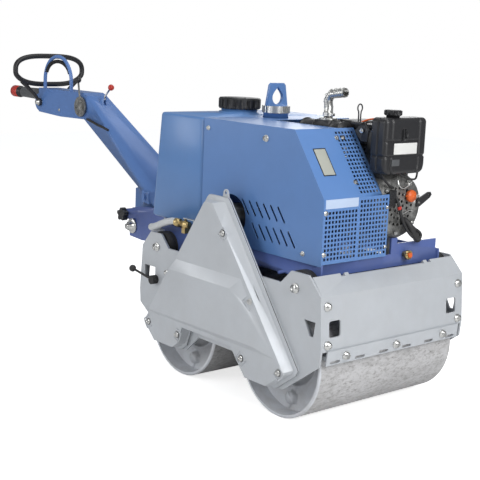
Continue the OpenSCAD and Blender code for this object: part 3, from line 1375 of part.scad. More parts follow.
// Half the beam's width at this distance from the head's front
function beside(d) = bar_half_rear + (bar_half_front - bar_half_rear) * (d - 10) / (head_front - 10 - bar_end);
function bar_ring(lx, lz, tx, tz, half) = [[lx, half, lz], [tx, half, tz], [tx, -half, tz], [lx, -half, lz]];
module drawbar() {
  w = bar_t;
  lug_outline = [
    [-pivot_back - 26, pivot_z + 8], [-pivot_back - 20, pivot_z - 20], [-pivot_back + 4, pivot_z - 28],
    [-pivot_back + 32, pivot_z - 12], [-bar_end - 6, bar_end_low + 4], [-bar_end - 6, bar_end_low + 60],
    [-pivot_back + 10, pivot_z + 170], [-pivot_back - 24, pivot_z + 160]
  ];
  color("dimgray") difference() {
    union() {
      difference() {
        loft([bar_ring(-head_front + 10, bar_low_z, -bar_top_x, bar_top_z, bar_half_rear),
          bar_ring(-bar_end, bar_end_low, -bar_end, bar_end_top, bar_half_front)]);
        loft([bar_ring(-head_front + 12 + w, bar_low_z + w, -bar_top_x + w, bar_top_z - 1.4 * w, bar_half_rear - w),
          bar_ring(-bar_end + w, bar_end_low + w, -bar_end + w, bar_end_top - 1.4 * w, bar_half_front - w)]);
      }
      both_sides() plate_y(lug_outline, -lug_y - lug_t, lug_t);
      translate([-pivot_back, 0, pivot_z]) rod_y(sleeve_d, -tongue_y + seat_gap, tongue_y - seat_gap);
      both_sides() translate([latch_at[0], -latch_half, latch_at[1]]) rotate([-90, 0, 0])
        linear_extrude(latch_half - bar_half_front + 3 * w) difference() {
          soft_square(latch_size, 6);
          soft_square(latch_hole, 9);
        }
      for (s = [-1, 1]) translate([lever_pivot[0], s * 9, lever_pivot[2]])
        block([-14, -2, -46], [14, 2, 12]);
      translate(lever_pivot) rod_y(lever_pin_d, -9, 9);
    }
    translate([-pivot_back, 0, pivot_z]) rod_y(pivot_d + 2 * run_gap, -tongue_y, tongue_y);
  }
  color("dimgray") translate([-head_front + 195, 0, head_top - 141])
    rod_y(clamp_d + 7, -beside(195) - clamp_gap + seat_gap, -beside(195) + bar_t);
}
washer_d = 65;
washer_t = 6;
module pivot_bolt() {
  color("lightgray") translate([-pivot_back, 0, pivot_z]) {
    out = tongue_y + tongue_t;
    rod_y(pivot_d, -out - 2 * washer_t - pivot_d * 0.9, out + washer_t);
    for (s = [-1, 1]) translate([0, s * out - (s < 0 ? washer_t : 0), 0]) rod_y(washer_d, 0, washer_t);
    translate([0, -out - washer_t, 0]) rotate([90, 0, 0]) cylinder(d = 1.7 * pivot_d, h = 0.7 * pivot_d, $fn = 6);
    translate([0, out + washer_t, 0]) rotate([-90, 0, 0]) cylinder(d = 1.7 * pivot_d, h = 0.6 * pivot_d, $fn = 6);
  }
}
knob_d = 58;
knob_lobes = 5;
module star_knob() {
  seat = tongue_y + tongue_t + knob_boss_len + seat_gap;
  color("black") translate([-knob_x, 0, knob_z]) {
    rod_y(knob_screw_d, -seat - 6, -tongue_y - tongue_t / 2);
    rod_y(knob_d * 0.5, -seat - 6, -seat);
    translate([0, -seat - 6, 0]) rotate([90, 0, 0]) linear_extrude(22) {
      circle(knob_d * 0.36);
      for (k = [0 : knob_lobes - 1]) rotate(90 + 360 * k / knob_lobes)
        translate([knob_d * 0.34, 0]) circle(knob_d * 0.16, $fn = 24);
    }
  }
}
head_rear = head_front + head_len - 15;
head_wall = 3;
hoop_pivot = [-head_rear + 18, 0, head_top - 69];
hoop_pin_d = 14;
head_outline = [
  [-head_front + 10, bar_low_z], [-bar_top_x, bar_top_z], [-head_front, head_top], [-head_rear, head_top],
  [-head_rear, head_top - 116], [-head_rear + 209, head_top - 125]
];
module control_head() {
  color("slateblue") difference() {
    union() {
      plate_y(head_outline, -head_half, 2 * head_half);
      both_sides() translate([-head_rear + 6, 0, hoop_pivot[2]]) rod_y(84, -head_half, -head_half + head_wall);
    }
    plate_y(inset(head_outline, head_wall), -head_half + head_wall, 2 * (head_half - head_wall));
    block([-head_rear + 40, -head_half * 0.7, head_top - 140], [-head_front - 60, head_half * 0.7, head_top - 110]);
    translate(hoop_pivot) rod_y(hoop_pin_d, -2 * head_half, 2 * head_half);
  }
}
module guard_hoop() {
  color("slateblue") translate([-head_rear, -head_half + 9, head_top]) run(led([
    [47, 0, 0], [47, 0, 60], [58, 0, 112], [82, 0, 148], [118, 0, 157], [165, 0, 142], [236, 0, 76],
    [280, 0, 34], [292, 0, 14], [292, 0, 0]
  ], 6, 2, 2), guard_d, 10);
}
hoop_half = 200;
hoop_low = 17;
hoop_high = 154;
arm_t = 8;
arm_y = head_half + 4;
module travel_hoop() {
  x = hoop_pivot[0] - 10;
  ring = rounded_ring([
    [-hoop_half * 0.53, head_top + hoop_high], [-hoop_half, head_top + 92], [-hoop_half * 0.64, head_top + hoop_low],
    [hoop_half * 0.64, head_top + hoop_low], [hoop_half, head_top + 92], [hoop_half * 0.53, head_top + hoop_high]
  ], 26, 3);
  path = [for (p = ring) [x, p[0], p[1]]];
  color("black") {
    loop(path, hoop_d);
    both_sides() difference() {
      translate(hoop_pivot) plate_y([
        [-20, 2], [-14, -14], [0, -20], [14, -14], [20, 2], [0, head_top + hoop_low - hoop_pivot[2]],
        [-20, head_top + hoop_low - hoop_pivot[2]]
      ], -arm_y - arm_t, arm_t);
      translate(hoop_pivot) rod_y(hoop_pin_d + 2 * run_gap, -2 * head_half, 0);
    }
  }
}
module hoop_bolts() {
  nut_y = arm_y + arm_t + seat_gap;
  color("lightgray") translate(hoop_pivot) {
    rod_y(hoop_pin_d, -nut_y - 14, nut_y + 14);
    both_sides() {
      rod_y(2.4 * hoop_pin_d, -nut_y - 3, -nut_y);
      translate([0, -nut_y - 3, 0]) rotate([90, 0, 0]) cylinder(d = 1.7 * hoop_pin_d, h = 10, $fn = 6);
      rod_y(2 * hoop_pin_d, -arm_y + seat_gap, -head_half);
    }
  }
}
button_y = -22;
button_z = head_top - 32;
button_d = 58;
housing_len = 207;
housing_end = head_rear + housing_len;
module button_housing() {
  function oval(x, a, b) = [for (k = [0 : 15]) let (t = 360 * k / 16) [x, button_y + a * cos(t), button_z - 2 + b * sin(t)]];
  color("silver") difference() {
    union() {
      loft([oval(-housing_end, 25, 25), oval(-housing_end + 60, 26, 26), oval(-head_rear - 60, 27, 28), oval(-head_rear, 28, 30)]);
    }
    translate([0, button_y, button_z - 2]) rod_x(30 + 2 * run_gap, -housing_end - overrun, -housing_end + 60);
  }
}
button_travel = 6;
module stop_button() {
  color("red") translate([-housing_end, button_y, button_z - 2]) {
    rod_x(30, -button_travel - 4, 40);
    rod_x(50, -button_travel - 40, -button_travel - seat_gap);
    rod_x(button_d, -button_travel - 88, -button_travel - 30);
  }
}
throttle_at = [-head_front - 10, 0, head_top - 64];
throttle_d = 92;
throttle_pin_d = 12;
module throttle_lever() {
  y = -head_half - 4;
  color("black") translate(throttle_at) {
    difference() {
      union() {
        rod_y(throttle_d, y - 9, y);
        rod_y(34, y - 14, y);
      }
      for (k = [0 : 5]) rotate([0, 60 * k, 0]) translate([throttle_d * 0.33, 0, 0]) rod_y(14, y - 12, y - 5);
    }
    rod_y(throttle_pin_d, y, -head_half - seat_gap);
    run([[0, y - 6, 30], [-4, y - 8, 66], [-15, y - 8, 122]], 9, 8);
    translate([-15, y - 8, 122]) sphere(d = 30);
  }
}
module throttle_cable() {
  off = clamp_d / 2 + clamp_gap;
  color("black") translate([-head_front, 0, head_top]) run(flowing([
    [50, -head_half - 8, -116], [110, -head_half - 9, -128], [160, -beside(160) - off, -137],
    [195, -beside(195) - off, -141], [240, -beside(240) - off, -150]
  ], 2), clamp_d, 8);
}
module vibration_lever() {
  color("red") translate(lever_pivot) {
    difference() {
      rod_y(20, -6.5, 6.5);
      rod_y(lever_pin_d + 2 * run_gap, -8, 8);
    }
    run([[7, 0, 6], [34, 0, 31], [58, 0, 52]], 8, 8);
    translate([62, 0, 55]) sphere(d = 28);
  }
}

front_drum();
rear_drum();
front_drum_ends();
rear_drum_ends();
front_sprocket_shaft();
rear_sprocket_shaft();
shaft_bearings();
side_plate_right();
side_plate_left();
front_panel();
rear_panel();
scraper_strips();
exciter_tube();
exciter_shaft();
hydraulic_motors();
motor_sprocket();
drive_chains();
case_back_plate();
case_seal();
chain_cover();
rubber_buffers();
frame_bolts();
upper_frame();
water_tank();
water_cap();
water_hose();
brass_fittings();
cock_lever();
sprinkler_pipes();
ball_lever();
hood_side();
hood_top();
hood_front();
front_grille();
lifting_eye();
crankcase();
cylinder_block();
blower_housing();
flywheel();
fuel_tank();
fuel_cap();
oil_cap();
muffler();
exhaust_elbow();
drain_hose();
stop_lever();
hydraulic_pump();
hydraulic_hoses();
drawbar();
pivot_bolt();
star_knob();
control_head();
guard_hoop();
travel_hoop();
hoop_bolts();
button_housing();
stop_button();
throttle_lever();
throttle_cable();
vibration_lever();
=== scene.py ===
import json
import math
import bpy
import bmesh
from mathutils import Matrix, Vector


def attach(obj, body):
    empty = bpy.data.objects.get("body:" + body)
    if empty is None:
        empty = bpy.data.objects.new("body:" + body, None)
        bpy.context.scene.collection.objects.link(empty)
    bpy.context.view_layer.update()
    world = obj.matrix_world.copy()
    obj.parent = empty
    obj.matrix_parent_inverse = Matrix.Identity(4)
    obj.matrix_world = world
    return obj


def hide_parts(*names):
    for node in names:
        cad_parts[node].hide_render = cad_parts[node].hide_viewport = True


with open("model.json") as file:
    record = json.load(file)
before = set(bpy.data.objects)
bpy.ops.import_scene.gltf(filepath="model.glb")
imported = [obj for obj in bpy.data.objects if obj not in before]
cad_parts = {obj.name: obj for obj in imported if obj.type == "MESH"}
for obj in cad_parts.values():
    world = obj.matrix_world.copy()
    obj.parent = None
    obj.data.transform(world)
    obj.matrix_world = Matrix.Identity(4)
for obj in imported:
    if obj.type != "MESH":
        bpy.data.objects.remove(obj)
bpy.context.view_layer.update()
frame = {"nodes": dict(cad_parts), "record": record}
nodes = frame["nodes"]
bodies = frame["record"]["behaviour"]["bodies"]
body_of_node = {node: body for body, members in bodies.items() for node in members}
slot_of_node = {part["node"]: part["material_slot"] for part in frame["record"]["subparts"]}
scene = bpy.context.scene
mm = 0.001

# ---------------------------------------------------------------- objects, nodes and wires


def linked(name, data):
    """A new object in the scene, at the origin."""
    item = bpy.data.objects.new(name, data)
    scene.collection.objects.link(item)
    return item


def wire(tree, value, socket):
    """Links a socket to another one, or sets it to a plain value."""
    if isinstance(value, bpy.types.NodeSocket):
        tree.links.new(value, socket)
    else:
        socket.default_value = value


def put(tree, kind, settings=None, **wires):
    """The outputs of a new node; its inputs are wired or set by name, with _ for a space."""
    node = tree.nodes.new(kind)
    for key, value in (settings or {}).items():
        setattr(node, key, value)
    for key, value in wires.items():
        wire(tree, value, node.inputs[key.replace("_", " ")])
    return node.outputs


def maths(tree, operation, a, b, clamp=False):
    node = tree.nodes.new("ShaderNodeMath")
    node.operation = operation
    node.use_clamp = clamp
    wire(tree, a, node.inputs[0])
    wire(tree, b, node.inputs[1])
    return node.outputs[0]


def vector_maths(tree, operation, a, b):
    node = tree.nodes.new("ShaderNodeVectorMath")
    node.operation = operation
    wire(tree, a, node.inputs[0])
    wire(tree, b, node.inputs[1])
    return node.outputs


def blend_colours(tree, factor, a, b):
    node = tree.nodes.new("ShaderNodeMix")
    node.data_type = "RGBA"
    colour_a, colour_b, colour_out = node.inputs[6], node.inputs[7], node.outputs[2]
    wire(tree, factor, node.inputs["Factor"])
    wire(tree, a, colour_a)
    wire(tree, b, colour_b)
    return colour_out


def ramp(tree, value, low, high, to_low=0.0, to_high=1.0):
    """Maps a value from one range to another and keeps it there."""
    node = tree.nodes.new("ShaderNodeMapRange")
    node.clamp = True
    for label, v in (("Value", value), ("From Min", low), ("From Max", high), ("To Min", to_low), ("To Max", to_high)):
        wire(tree, v, node.inputs[label])
    return node.outputs[0]


def noise(tree, place, scale, detail, roughness, distortion=0.0):
    return put(tree, "ShaderNodeTexNoise", Vector=place, Scale=scale, Detail=detail, Roughness=roughness,
               Distortion=distortion)["Fac"]


def group(name, kind, inputs, outputs):
    """A node group with named sockets, what it is given and what it puts out."""
    tree = bpy.data.node_groups.new(name, kind)
    for label, socket_kind, value in inputs:
        socket = tree.interface.new_socket(label, in_out="INPUT", socket_type="NodeSocket" + socket_kind)
        if value is not None:
            socket.default_value = value
    for label, socket_kind in outputs:
        tree.interface.new_socket(label, in_out="OUTPUT", socket_type="NodeSocket" + socket_kind)
    return tree, tree.nodes.new("NodeGroupInput").outputs, tree.nodes.new("NodeGroupOutput").inputs


def send(tree, out, **values):
    for label, value in values.items():
        tree.links.new(value, out[label])
    return tree


# ---------------------------------------------------------------- camera, floor and light

camera_place = (2.7582, -2.6073, 1.2466)
camera_angles = (49.931, 10.824, 2.225)  # turn about the upright, rise and roll, in degrees
focal_length, sensor_width, view_depth = 78.5, 36, 60
world_tint, world_strength = (0.93, 0.96, 1.0, 1), 0.32
floor_half, floor_grey, floor_lift = 9, 0.8, 0.74
lamps = [  # name, place, the spot it shines at, width and power
    ("front_box", (3.2, -0.5, 1.9), (0.2, 0, 0.5), 1.9, 62),
    ("key_box", (1.9, -0.5, 3.1), (0.1, -0.1, 0.5), 1.1, 20),
    ("top_box", (-0.6, 0.4, 3.6), (-0.3, 0, 0.6), 2.4, 29),
    ("side_box", (-0.4, -3.8, 1.8), (-0.3, 0, 0.6), 2.0, 36),
    ("low_left_box", (-3.0, -2.7, 1.3), (-0.2, -0.3, 0.5), 1.1, 13),
    ("far_box", (-2.6, 3.2, 2.2), (-0.2, 0, 0.6), 2.4, 30),
]


def aim_camera():
    """The photograph's viewpoint, off the machine's right front corner and slightly rolled."""
    turn, rise, roll = (math.radians(a) for a in camera_angles)
    back = Vector((math.sin(turn) * math.cos(rise), -math.cos(turn) * math.cos(rise), math.sin(rise)))
    level = Vector((0, 0, 1)).cross(back).normalized()
    upright = back.cross(level)
    right = level * math.cos(roll) + upright * math.sin(roll)
    up = upright * math.cos(roll) - level * math.sin(roll)
    camera = linked("camera", bpy.data.cameras.new("camera"))
    camera.data.sensor_width = sensor_width
    camera.data.lens = focal_length
    camera.data.clip_end = view_depth
    camera.matrix_world = Matrix.Translation(camera_place) @ Matrix((right, up, back)).transposed().to_4x4()
    scene.camera = camera


def soft_lamp(name, place, target, size, power):
    lamp = linked(name, bpy.data.lights.new(name, "AREA"))
    lamp.data.shape = "DISK"
    lamp.data.size = size
    lamp.data.energy = power
    away = (Vector(place) - Vector(target)).normalized()
    lamp.matrix_world = Matrix.Translation(place) @ away.to_track_quat("Z", "Y").to_matrix().to_4x4()


def white_when_seen(tree, plain, white, surface):
    """The white shader for rays from the camera or through clear parts, the plain one for all others."""
    path = put(tree, "ShaderNodeLightPath")
    mix = tree.nodes.new("ShaderNodeMixShader")
    wire(tree, maths(tree, "MAXIMUM", path["Is Camera Ray"], path["Is Transmission Ray"]), mix.inputs[0])
    wire(tree, plain, mix.inputs[1])
    wire(tree, white, mix.inputs[2])
    wire(tree, mix.outputs[0], surface)


def light_studio():
    scene.world = bpy.data.worlds.new("studio")
    scene.world.use_nodes = True
    tree = scene.world.node_tree
    plain = tree.nodes["Background"]
    plain.inputs["Color"].default_value = world_tint
    plain.inputs["Strength"].default_value = world_strength
    white = put(tree, "ShaderNodeBackground", Color=(1, 1, 1, 1), Strength=1.0)[0]
    white_when_seen(tree, plain.outputs[0], white, tree.nodes["World Output"].inputs["Surface"])
    for lamp in lamps:
        soft_lamp(*lamp)


def lay_floor():
    mesh = bpy.data.meshes.new("studio_floor")
    corners = [(x * floor_half, y * floor_half, 0) for x, y in ((-1, -1), (1, -1), (1, 1), (-1, 1))]
    mesh.from_pydata(corners, [], [(0, 1, 2, 3)])
    floor = linked("studio_floor", mesh)
    paint = bpy.data.materials.new("floor_white")
    paint.use_nodes = True
    tree = paint.node_tree
    tree.nodes.clear()
    matt = put(tree, "ShaderNodeBsdfDiffuse", Color=(floor_grey, floor_grey, floor_grey, 1))[0]
    lift = put(tree, "ShaderNodeEmission", Color=(floor_lift, floor_lift, floor_lift, 1))[0]
    both = tree.nodes.new("ShaderNodeAddShader")
    wire(tree, matt, both.inputs[0])
    wire(tree, lift, both.inputs[1])
    out = tree.nodes.new("ShaderNodeOutputMaterial")
    white_when_seen(tree, matt, both.outputs[0], out.inputs["Surface"])
    mesh.materials.append(paint)


scene.view_settings.view_transform = "Standard"
aim_camera()
light_studio()
lay_floor()

# ---------------------------------------------------------------- shared effects for the finishes

place_and_colour = [("Place", "Vector", None), ("Colour", "Color", None)]


def uneven_coat():
    """Paint or plastic: cloudy colour and gloss, and a fine grain."""
    tree, given, out = group(
        "uneven_coat", "ShaderNodeTree",
        place_and_colour + [("Shade", "Color", None), ("Cloud", "Float", 6.0), ("Grain", "Float", 900.0)],
        [("Colour", "Color"), ("Gloss", "Float"), ("Height", "Float")])
    cloud = noise(tree, given["Place"], given["Cloud"], 5.0, 0.6)
    fine = noise(tree, given["Place"], given["Grain"], 3.0, 0.55)
    colour = blend_colours(tree, ramp(tree, cloud, 0.35, 0.68), given["Colour"], given["Shade"])
    return send(tree, out, Colour=colour, Gloss=ramp(tree, cloud, 0.3, 0.7), Height=fine)


def rubbed_edges():
    """Edges that look rounded, with the coat rubbed through in chips."""
    tree, given, out = group(
        "rubbed_edges", "ShaderNodeTree",
        place_and_colour + [("Radius", "Float", 0.001), ("Bare", "Color", None), ("Rub", "Float", 0.3)],
        [("Colour", "Color"), ("Normal", "Vector")])
    soft = put(tree, "ShaderNodeBevel", {"samples": 4}, Radius=given["Radius"])["Normal"]
    flat = put(tree, "ShaderNodeNewGeometry")["Normal"]
    edge = ramp(tree, vector_maths(tree, "DOT_PRODUCT", soft, flat)["Value"], 0.995, 0.86)
    chips = ramp(tree, noise(tree, given["Place"], 95.0, 6.0, 0.7), 0.5, 0.62)
    rub = maths(tree, "MULTIPLY", maths(tree, "MULTIPLY", edge, chips), given["Rub"], clamp=True)
    return send(tree, out, Colour=blend_colours(tree, rub, given["Colour"], given["Bare"]), Normal=soft)


def settled_dust():
    """Dust in patches, low down and on what faces up."""
    tree, given, out = group(
        "settled_dust", "ShaderNodeTree",
        place_and_colour + [("Dust", "Color", (0.36, 0.33, 0.29, 1)), ("Low", "Float", 0.15),
                            ("High", "Float", 0.9), ("Amount", "Float", 0.3)],
        [("Colour", "Color"), ("Dust", "Float")])
    height = put(tree, "ShaderNodeSeparateXYZ", Vector=given["Place"])["Z"]
    normal = put(tree, "ShaderNodeNewGeometry")["Normal"]
    facing = put(tree, "ShaderNodeSeparateXYZ", Vector=normal)["Z"]
    patches = ramp(tree, noise(tree, given["Place"], 14.0, 7.0, 0.65), 0.42, 0.72)
    lying = maths(tree, "ADD", ramp(tree, height, given["Low"], given["High"], 1.0, 0.0),
                  ramp(tree, facing, 0.3, 1.0, 0.0, 0.35))
    mask = maths(tree, "MULTIPLY", maths(tree, "MULTIPLY", lying, patches), given["Amount"], clamp=True)
    return send(tree, out, Colour=blend_colours(tree, mask, given["Colour"], given["Dust"]), Dust=mask)


def trodden_steel():
    """A rolled steel face: fine dark pits and broad stains, drawn out across the drum."""
    tree, given, out = group(
        "trodden_steel", "ShaderNodeTree",
        place_and_colour + [("Stain", "Color", None), ("Dark", "Color", None)],
        [("Colour", "Color"), ("Gloss", "Float"), ("Height", "Float")])
    drawn = vector_maths(tree, "MULTIPLY", given["Place"], (1.0, 0.45, 1.0))[0]
    pits = noise(tree, drawn, 95.0, 9.0, 0.78, 0.4)
    stains = noise(tree, drawn, 16.0, 8.0, 0.72, 0.6)
    specks = put(tree, "ShaderNodeTexVoronoi", Vector=drawn, Scale=150.0, Randomness=1.0)["Distance"]
    colour = blend_colours(tree, ramp(tree, stains, 0.42, 0.66), given["Colour"], given["Stain"])
    dark = maths(tree, "MULTIPLY", ramp(tree, pits, 0.48, 0.62), ramp(tree, specks, 0.05, 0.5, 1.0, 0.45))
    return send(tree, out, Colour=blend_colours(tree, dark, colour, given["Dark"]),
                Gloss=ramp(tree, pits, 0.3, 0.7), Height=pits)


effects = {"coat": uneven_coat(), "edges": rubbed_edges(), "dust": settled_dust(), "steel": trodden_steel()}

# ---------------------------------------------------------------- finishes, by the slot or the place they are for

bare_metal = (0.45, 0.45, 0.44)
dust_low, dust_high = 0.1, 0.75  # heights between which the dust thins out, in metres
dust_dulls = 0.35
coat_rough = 0.12
relief_depth = 1 * mm


def opaque(colour, by=1.0):
    return tuple(c * by for c in colour) + (1,)


def finish(name, colour, rough, metal=0.0, shadow=0.86, cloud=6.0, grain=900.0, bump=0.03, radius=0.8,
           rub=0.0, dust=0.0, coat=0.0, gloss_swing=0.12, stain=None, dark=None):
    """An uneven coat or a trodden face, with soft and rubbed edges, settled dust and fine relief.

    radius is that of the edges in millimetres, and shadow is how dark the coat's clouds are."""
    material = bpy.data.materials.new(name)
    material.use_nodes = True
    tree = material.node_tree
    shader = tree.nodes["Principled BSDF"]
    place = put(tree, "ShaderNodeTexCoord")["Object"]

    def use(which, **wires):
        node = tree.nodes.new("ShaderNodeGroup")
        node.node_tree = effects[which]
        for key, value in wires.items():
            wire(tree, value, node.inputs[key])
        return node.outputs

    if stain:
        base = use("steel", Place=place, Colour=opaque(colour), Stain=opaque(stain), Dark=opaque(dark))
    else:
        base = use("coat", Place=place, Colour=opaque(colour), Shade=opaque(colour, shadow), Cloud=cloud, Grain=grain)
    edges = use("edges", Place=place, Radius=radius * mm, Colour=base["Colour"], Bare=opaque(bare_metal), Rub=rub)
    seen = edges["Colour"]
    dull = ramp(tree, base["Gloss"], 0.0, 1.0, max(rough - gloss_swing / 2, 0.02), min(rough + gloss_swing / 2, 1.0))
    if dust > 0:
        lying = use("dust", Place=place, Colour=seen, Amount=dust, Low=dust_low, High=dust_high)
        seen = lying["Colour"]
        dull = maths(tree, "ADD", dull, maths(tree, "MULTIPLY", lying["Dust"], dust_dulls), clamp=True)
    relief = put(tree, "ShaderNodeBump", Height=base["Height"], Strength=bump, Distance=relief_depth,
                 Normal=edges["Normal"])["Normal"]
    for label, value in (("Base Color", seen), ("Roughness", dull), ("Metallic", metal), ("Coat Weight", coat),
                         ("Coat Roughness", coat_rough), ("Normal", relief)):
        wire(tree, value, shader.inputs[label])
    return material


finishes = {
    "hood_blue": finish("hood_powder_blue", (0.110, 0.235, 0.52), 0.36, shadow=0.93, grain=1100, bump=0.05,
                        radius=1.2, rub=0.25, dust=0.05, coat=0.15),
    "tank_blue": finish("tank_moulded_blue", (0.105, 0.235, 0.51), 0.33, shadow=0.93, grain=500, bump=0.04,
                        radius=2, dust=0.06, coat=0.1),
    "frame_blue": finish("frame_deep_blue", (0.09, 0.14, 0.38), 0.34, shadow=0.88, bump=0.04,
                         radius=1.2, rub=0.3, dust=0.12, coat=0.2),
    "bar_blue": finish("bar_powder_blue", (0.10, 0.21, 0.50), 0.34, shadow=0.92, grain=1100, bump=0.05,
                       radius=1.5, rub=0.25, dust=0.05, coat=0.2),
    "frame_grey": finish("frame_silver_grey", (0.545, 0.57, 0.60), 0.42, metal=0.2, shadow=0.93, grain=1400,
                         bump=0.08, radius=1.5, rub=0.25, dust=0.12, coat=0.1),
    "drum_steel": finish("drum_painted_grey", (0.70, 0.72, 0.76), 0.45, grain=600, bump=0.08, radius=1,
                         rub=0.4, dust=0.35),
    "drum_face": finish("drum_rolling_face", (0.57, 0.565, 0.57), 0.66, stain=(0.44, 0.435, 0.435),
                        dark=(0.16, 0.15, 0.14), bump=0.9, radius=1, gloss_swing=0.3),
    "cast_grey": finish("rough_cast_grey", (0.30, 0.30, 0.29), 0.5, metal=0.55, shadow=0.35, cloud=42, grain=230,
                        bump=0.55, radius=1.5, dust=0.1),
    "bare_white": finish("bare_white_plate", (0.74, 0.74, 0.72), 0.38, shadow=0.94, grain=700),
    "bare_beige": finish("bare_beige_plate", (0.42, 0.43, 0.38), 0.4, shadow=0.92, grain=700),
    # painted highlight: a paler copy of the hood blue, standing in for the light on the hood's soft bend
    "pale_blue": finish("painted_bend_highlight_blue", (0.50, 0.60, 0.78), 0.36, shadow=0.95),
    "yellow_zinc": finish("yellow_zinc", (0.66, 0.60, 0.40), 0.3, metal=1.0, bump=0.05, radius=0.5),
    "shaft_steel": finish("turned_steel", (0.55, 0.55, 0.55), 0.3, metal=1.0, grain=700, bump=0.04, dust=0.1),
    "zinc": finish("bright_zinc", (0.72, 0.72, 0.70), 0.28, metal=1.0, bump=0.04, radius=0.5),
    "brass": finish("fitting_brass", (0.62, 0.47, 0.22), 0.32, metal=1.0, grain=700, bump=0.05, radius=0.5),
    "rubber": finish("black_rubber", (0.022, 0.022, 0.023), 0.62, grain=500, bump=0.12, radius=1, dust=0.12),
    "black_plastic": finish("black_moulding", (0.018, 0.018, 0.02), 0.38, grain=800, bump=0.08, radius=1, dust=0.04),
    "grey_plastic": finish("grey_moulding", (0.09, 0.095, 0.10), 0.45, bump=0.08, radius=1),
    "orange_plastic": finish("orange_moulding", (0.75, 0.13, 0.02), 0.4, bump=0.05),
    "red_plastic": finish("red_moulding", (0.55, 0.035, 0.02), 0.32, bump=0.04),
    "clear_hose": finish("milky_hose", (0.62, 0.64, 0.65), 0.25, grain=300, coat=0.3),
    "engine_alloy": finish("cast_alloy", (0.42, 0.42, 0.41), 0.42, metal=0.75, shadow=0.7, grain=420, bump=0.3,
                           radius=1.5, dust=0.1),
    "engine_black": finish("heat_black", (0.02, 0.02, 0.022), 0.42, grain=600, bump=0.12, radius=1, dust=0.06),
    "hydraulic_grey": finish("hydraulic_grey", (0.06, 0.065, 0.07), 0.4, grain=500, bump=0.15, dust=0.1),
    "chain_steel": finish("oiled_chain", (0.16, 0.15, 0.14), 0.35, metal=0.9, grain=600, bump=0.05, radius=0.3,
                          dust=0.1),
    "exhaust_steel": finish("heat_tinted_steel", (0.60, 0.60, 0.58), 0.3, metal=0.9, shadow=0.75, grain=260,
                            bump=0.06, radius=1),
}

# ---------------------------------------------------------------- finished pieces and what they ride on


def smooth(mesh, crease):
    """Smooth shading, but for edges sharper than the crease in degrees."""
    mesh.shade_smooth()
    mesh.set_sharp_from_angle(angle=math.radians(crease))


def painted(item, finish_name, crease=32):
    item.data.materials.clear()
    item.data.materials.append(finishes[finish_name])
    smooth(item.data, crease)
    return item


def carried(item, body, replaced=()):
    """Puts a piece on the body that it rides on, and hides the nodes that it stands for."""
    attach(item, body)
    for node in replaced:
        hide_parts(node)
    return item


def dressed(node, finish_name, edit=None):
    """A merged copy of a CAD node in its finish, which stands for the node."""
    merge_within, cad_crease = 2e-5, 28
    shape = bmesh.new()
    shape.from_mesh(nodes[node].data)
    bmesh.ops.remove_doubles(shape, verts=shape.verts, dist=merge_within)
    if edit:
        edit(shape)
    mesh = bpy.data.meshes.new("painted_" + node)
    shape.to_mesh(mesh)
    shape.free()
    piece = painted(linked("painted_" + node, mesh), finish_name, cad_crease)
    return carried(piece, body_of_node[node], [node])


def two_faced(mesh, second, test):
    """Gives the faces that pass the test the second finish."""
    mesh.materials.append(finishes[second])
    for face in mesh.polygons:
        if test(face):
            face.material_index = 1


# ---------------------------------------------------------------- shapes for the scene's own pieces, in millimetres


def round_angles(count):
    return [2 * math.pi * k / count for k in range(count)]


def rod(radius, start, end):
    """The profile of a plain round rod, for add_turned."""
    return [(0, start), (radius, start), (radius, end), (0, end)]


def plain_object(name, shape):
    """An object in metres from a shape drawn in millimetres, with its faces outward."""
    mesh = bpy.data.meshes.new(name)
    bmesh.ops.recalc_face_normals(shape, faces=shape.faces)
    bmesh.ops.scale(shape, vec=(mm, mm, mm), verts=shape.verts)
    shape.to_mesh(mesh)
    shape.free()
    return linked(name, mesh)


def own_piece(name, shape, body, finish_name, replaced=(), crease=32):
    """A piece from a drawn shape, in its finish and on its body, which stands for the replaced nodes."""
    return carried(painted(plain_object(name, shape), finish_name, crease), body, replaced)


def add_box(shape, low, high, soft=0.0, steps=2, turn=None):
    """A box between two corners, with soft edges and an optional turning matrix about its middle."""
    middle = [(a + b) / 2 for a, b in zip(low, high)]
    made = bmesh.ops.create_cube(shape, size=1.0)["verts"]
    bmesh.ops.scale(shape, vec=[b - a for a, b in zip(low, high)], verts=made)
    if soft:
        edges = list({e for v in made for e in v.link_edges})
        made = bmesh.ops.bevel(shape, geom=edges, offset=soft, segments=steps, profile=0.6, affect="EDGES")["verts"]
        made = list(set(made))
    bmesh.ops.transform(shape, matrix=Matrix.Translation(middle) @ (turn.to_4x4() if turn else Matrix()), verts=made)
    return made


def add_turned(shape, profile, place, axis=(0, 0, 1), segments=32):
    """A turned form: pairs of radius and height along the axis."""
    on_axis = 1e-6
    aim = Matrix.Translation(place) @ Vector(axis).to_track_quat("Z", "Y").to_matrix().to_4x4()
    levels = []
    for radius, height in profile:
        if radius < on_axis:
            levels.append([shape.verts.new(aim @ Vector((0, 0, height)))])
        else:
            levels.append([shape.verts.new(aim @ Vector((radius * math.cos(t), radius * math.sin(t), height)))
                           for t in round_angles(segments)])
    for a, b in zip(levels, levels[1:]):
        for k in range(segments):
            m = (k + 1) % segments
            corners = [a[k % len(a)], a[m % len(a)], b[m % len(b)], b[k % len(b)]]
            corners = [c for j, c in enumerate(corners) if c not in corners[:j]]
            if len(corners) > 2:
                shape.faces.new(corners)


def smooth_path(points, steps=8):
    """A soft line through the points, by the Catmull-Rom rule."""
    points = [Vector(p) for p in points]
    last = len(points) - 1
    out = []
    for i in range(last):
        a, b, c, d = (points[min(max(i + k, 0), last)] for k in (-1, 0, 1, 2))
        for t in (j / steps for j in range(steps)):
            out.append(0.5 * (2 * b + (c - a) * t + (2 * a - 5 * b + 4 * c - d) * t * t
                              + (3 * b - a - 3 * c + d) * t ** 3))
    return out + [points[-1]]


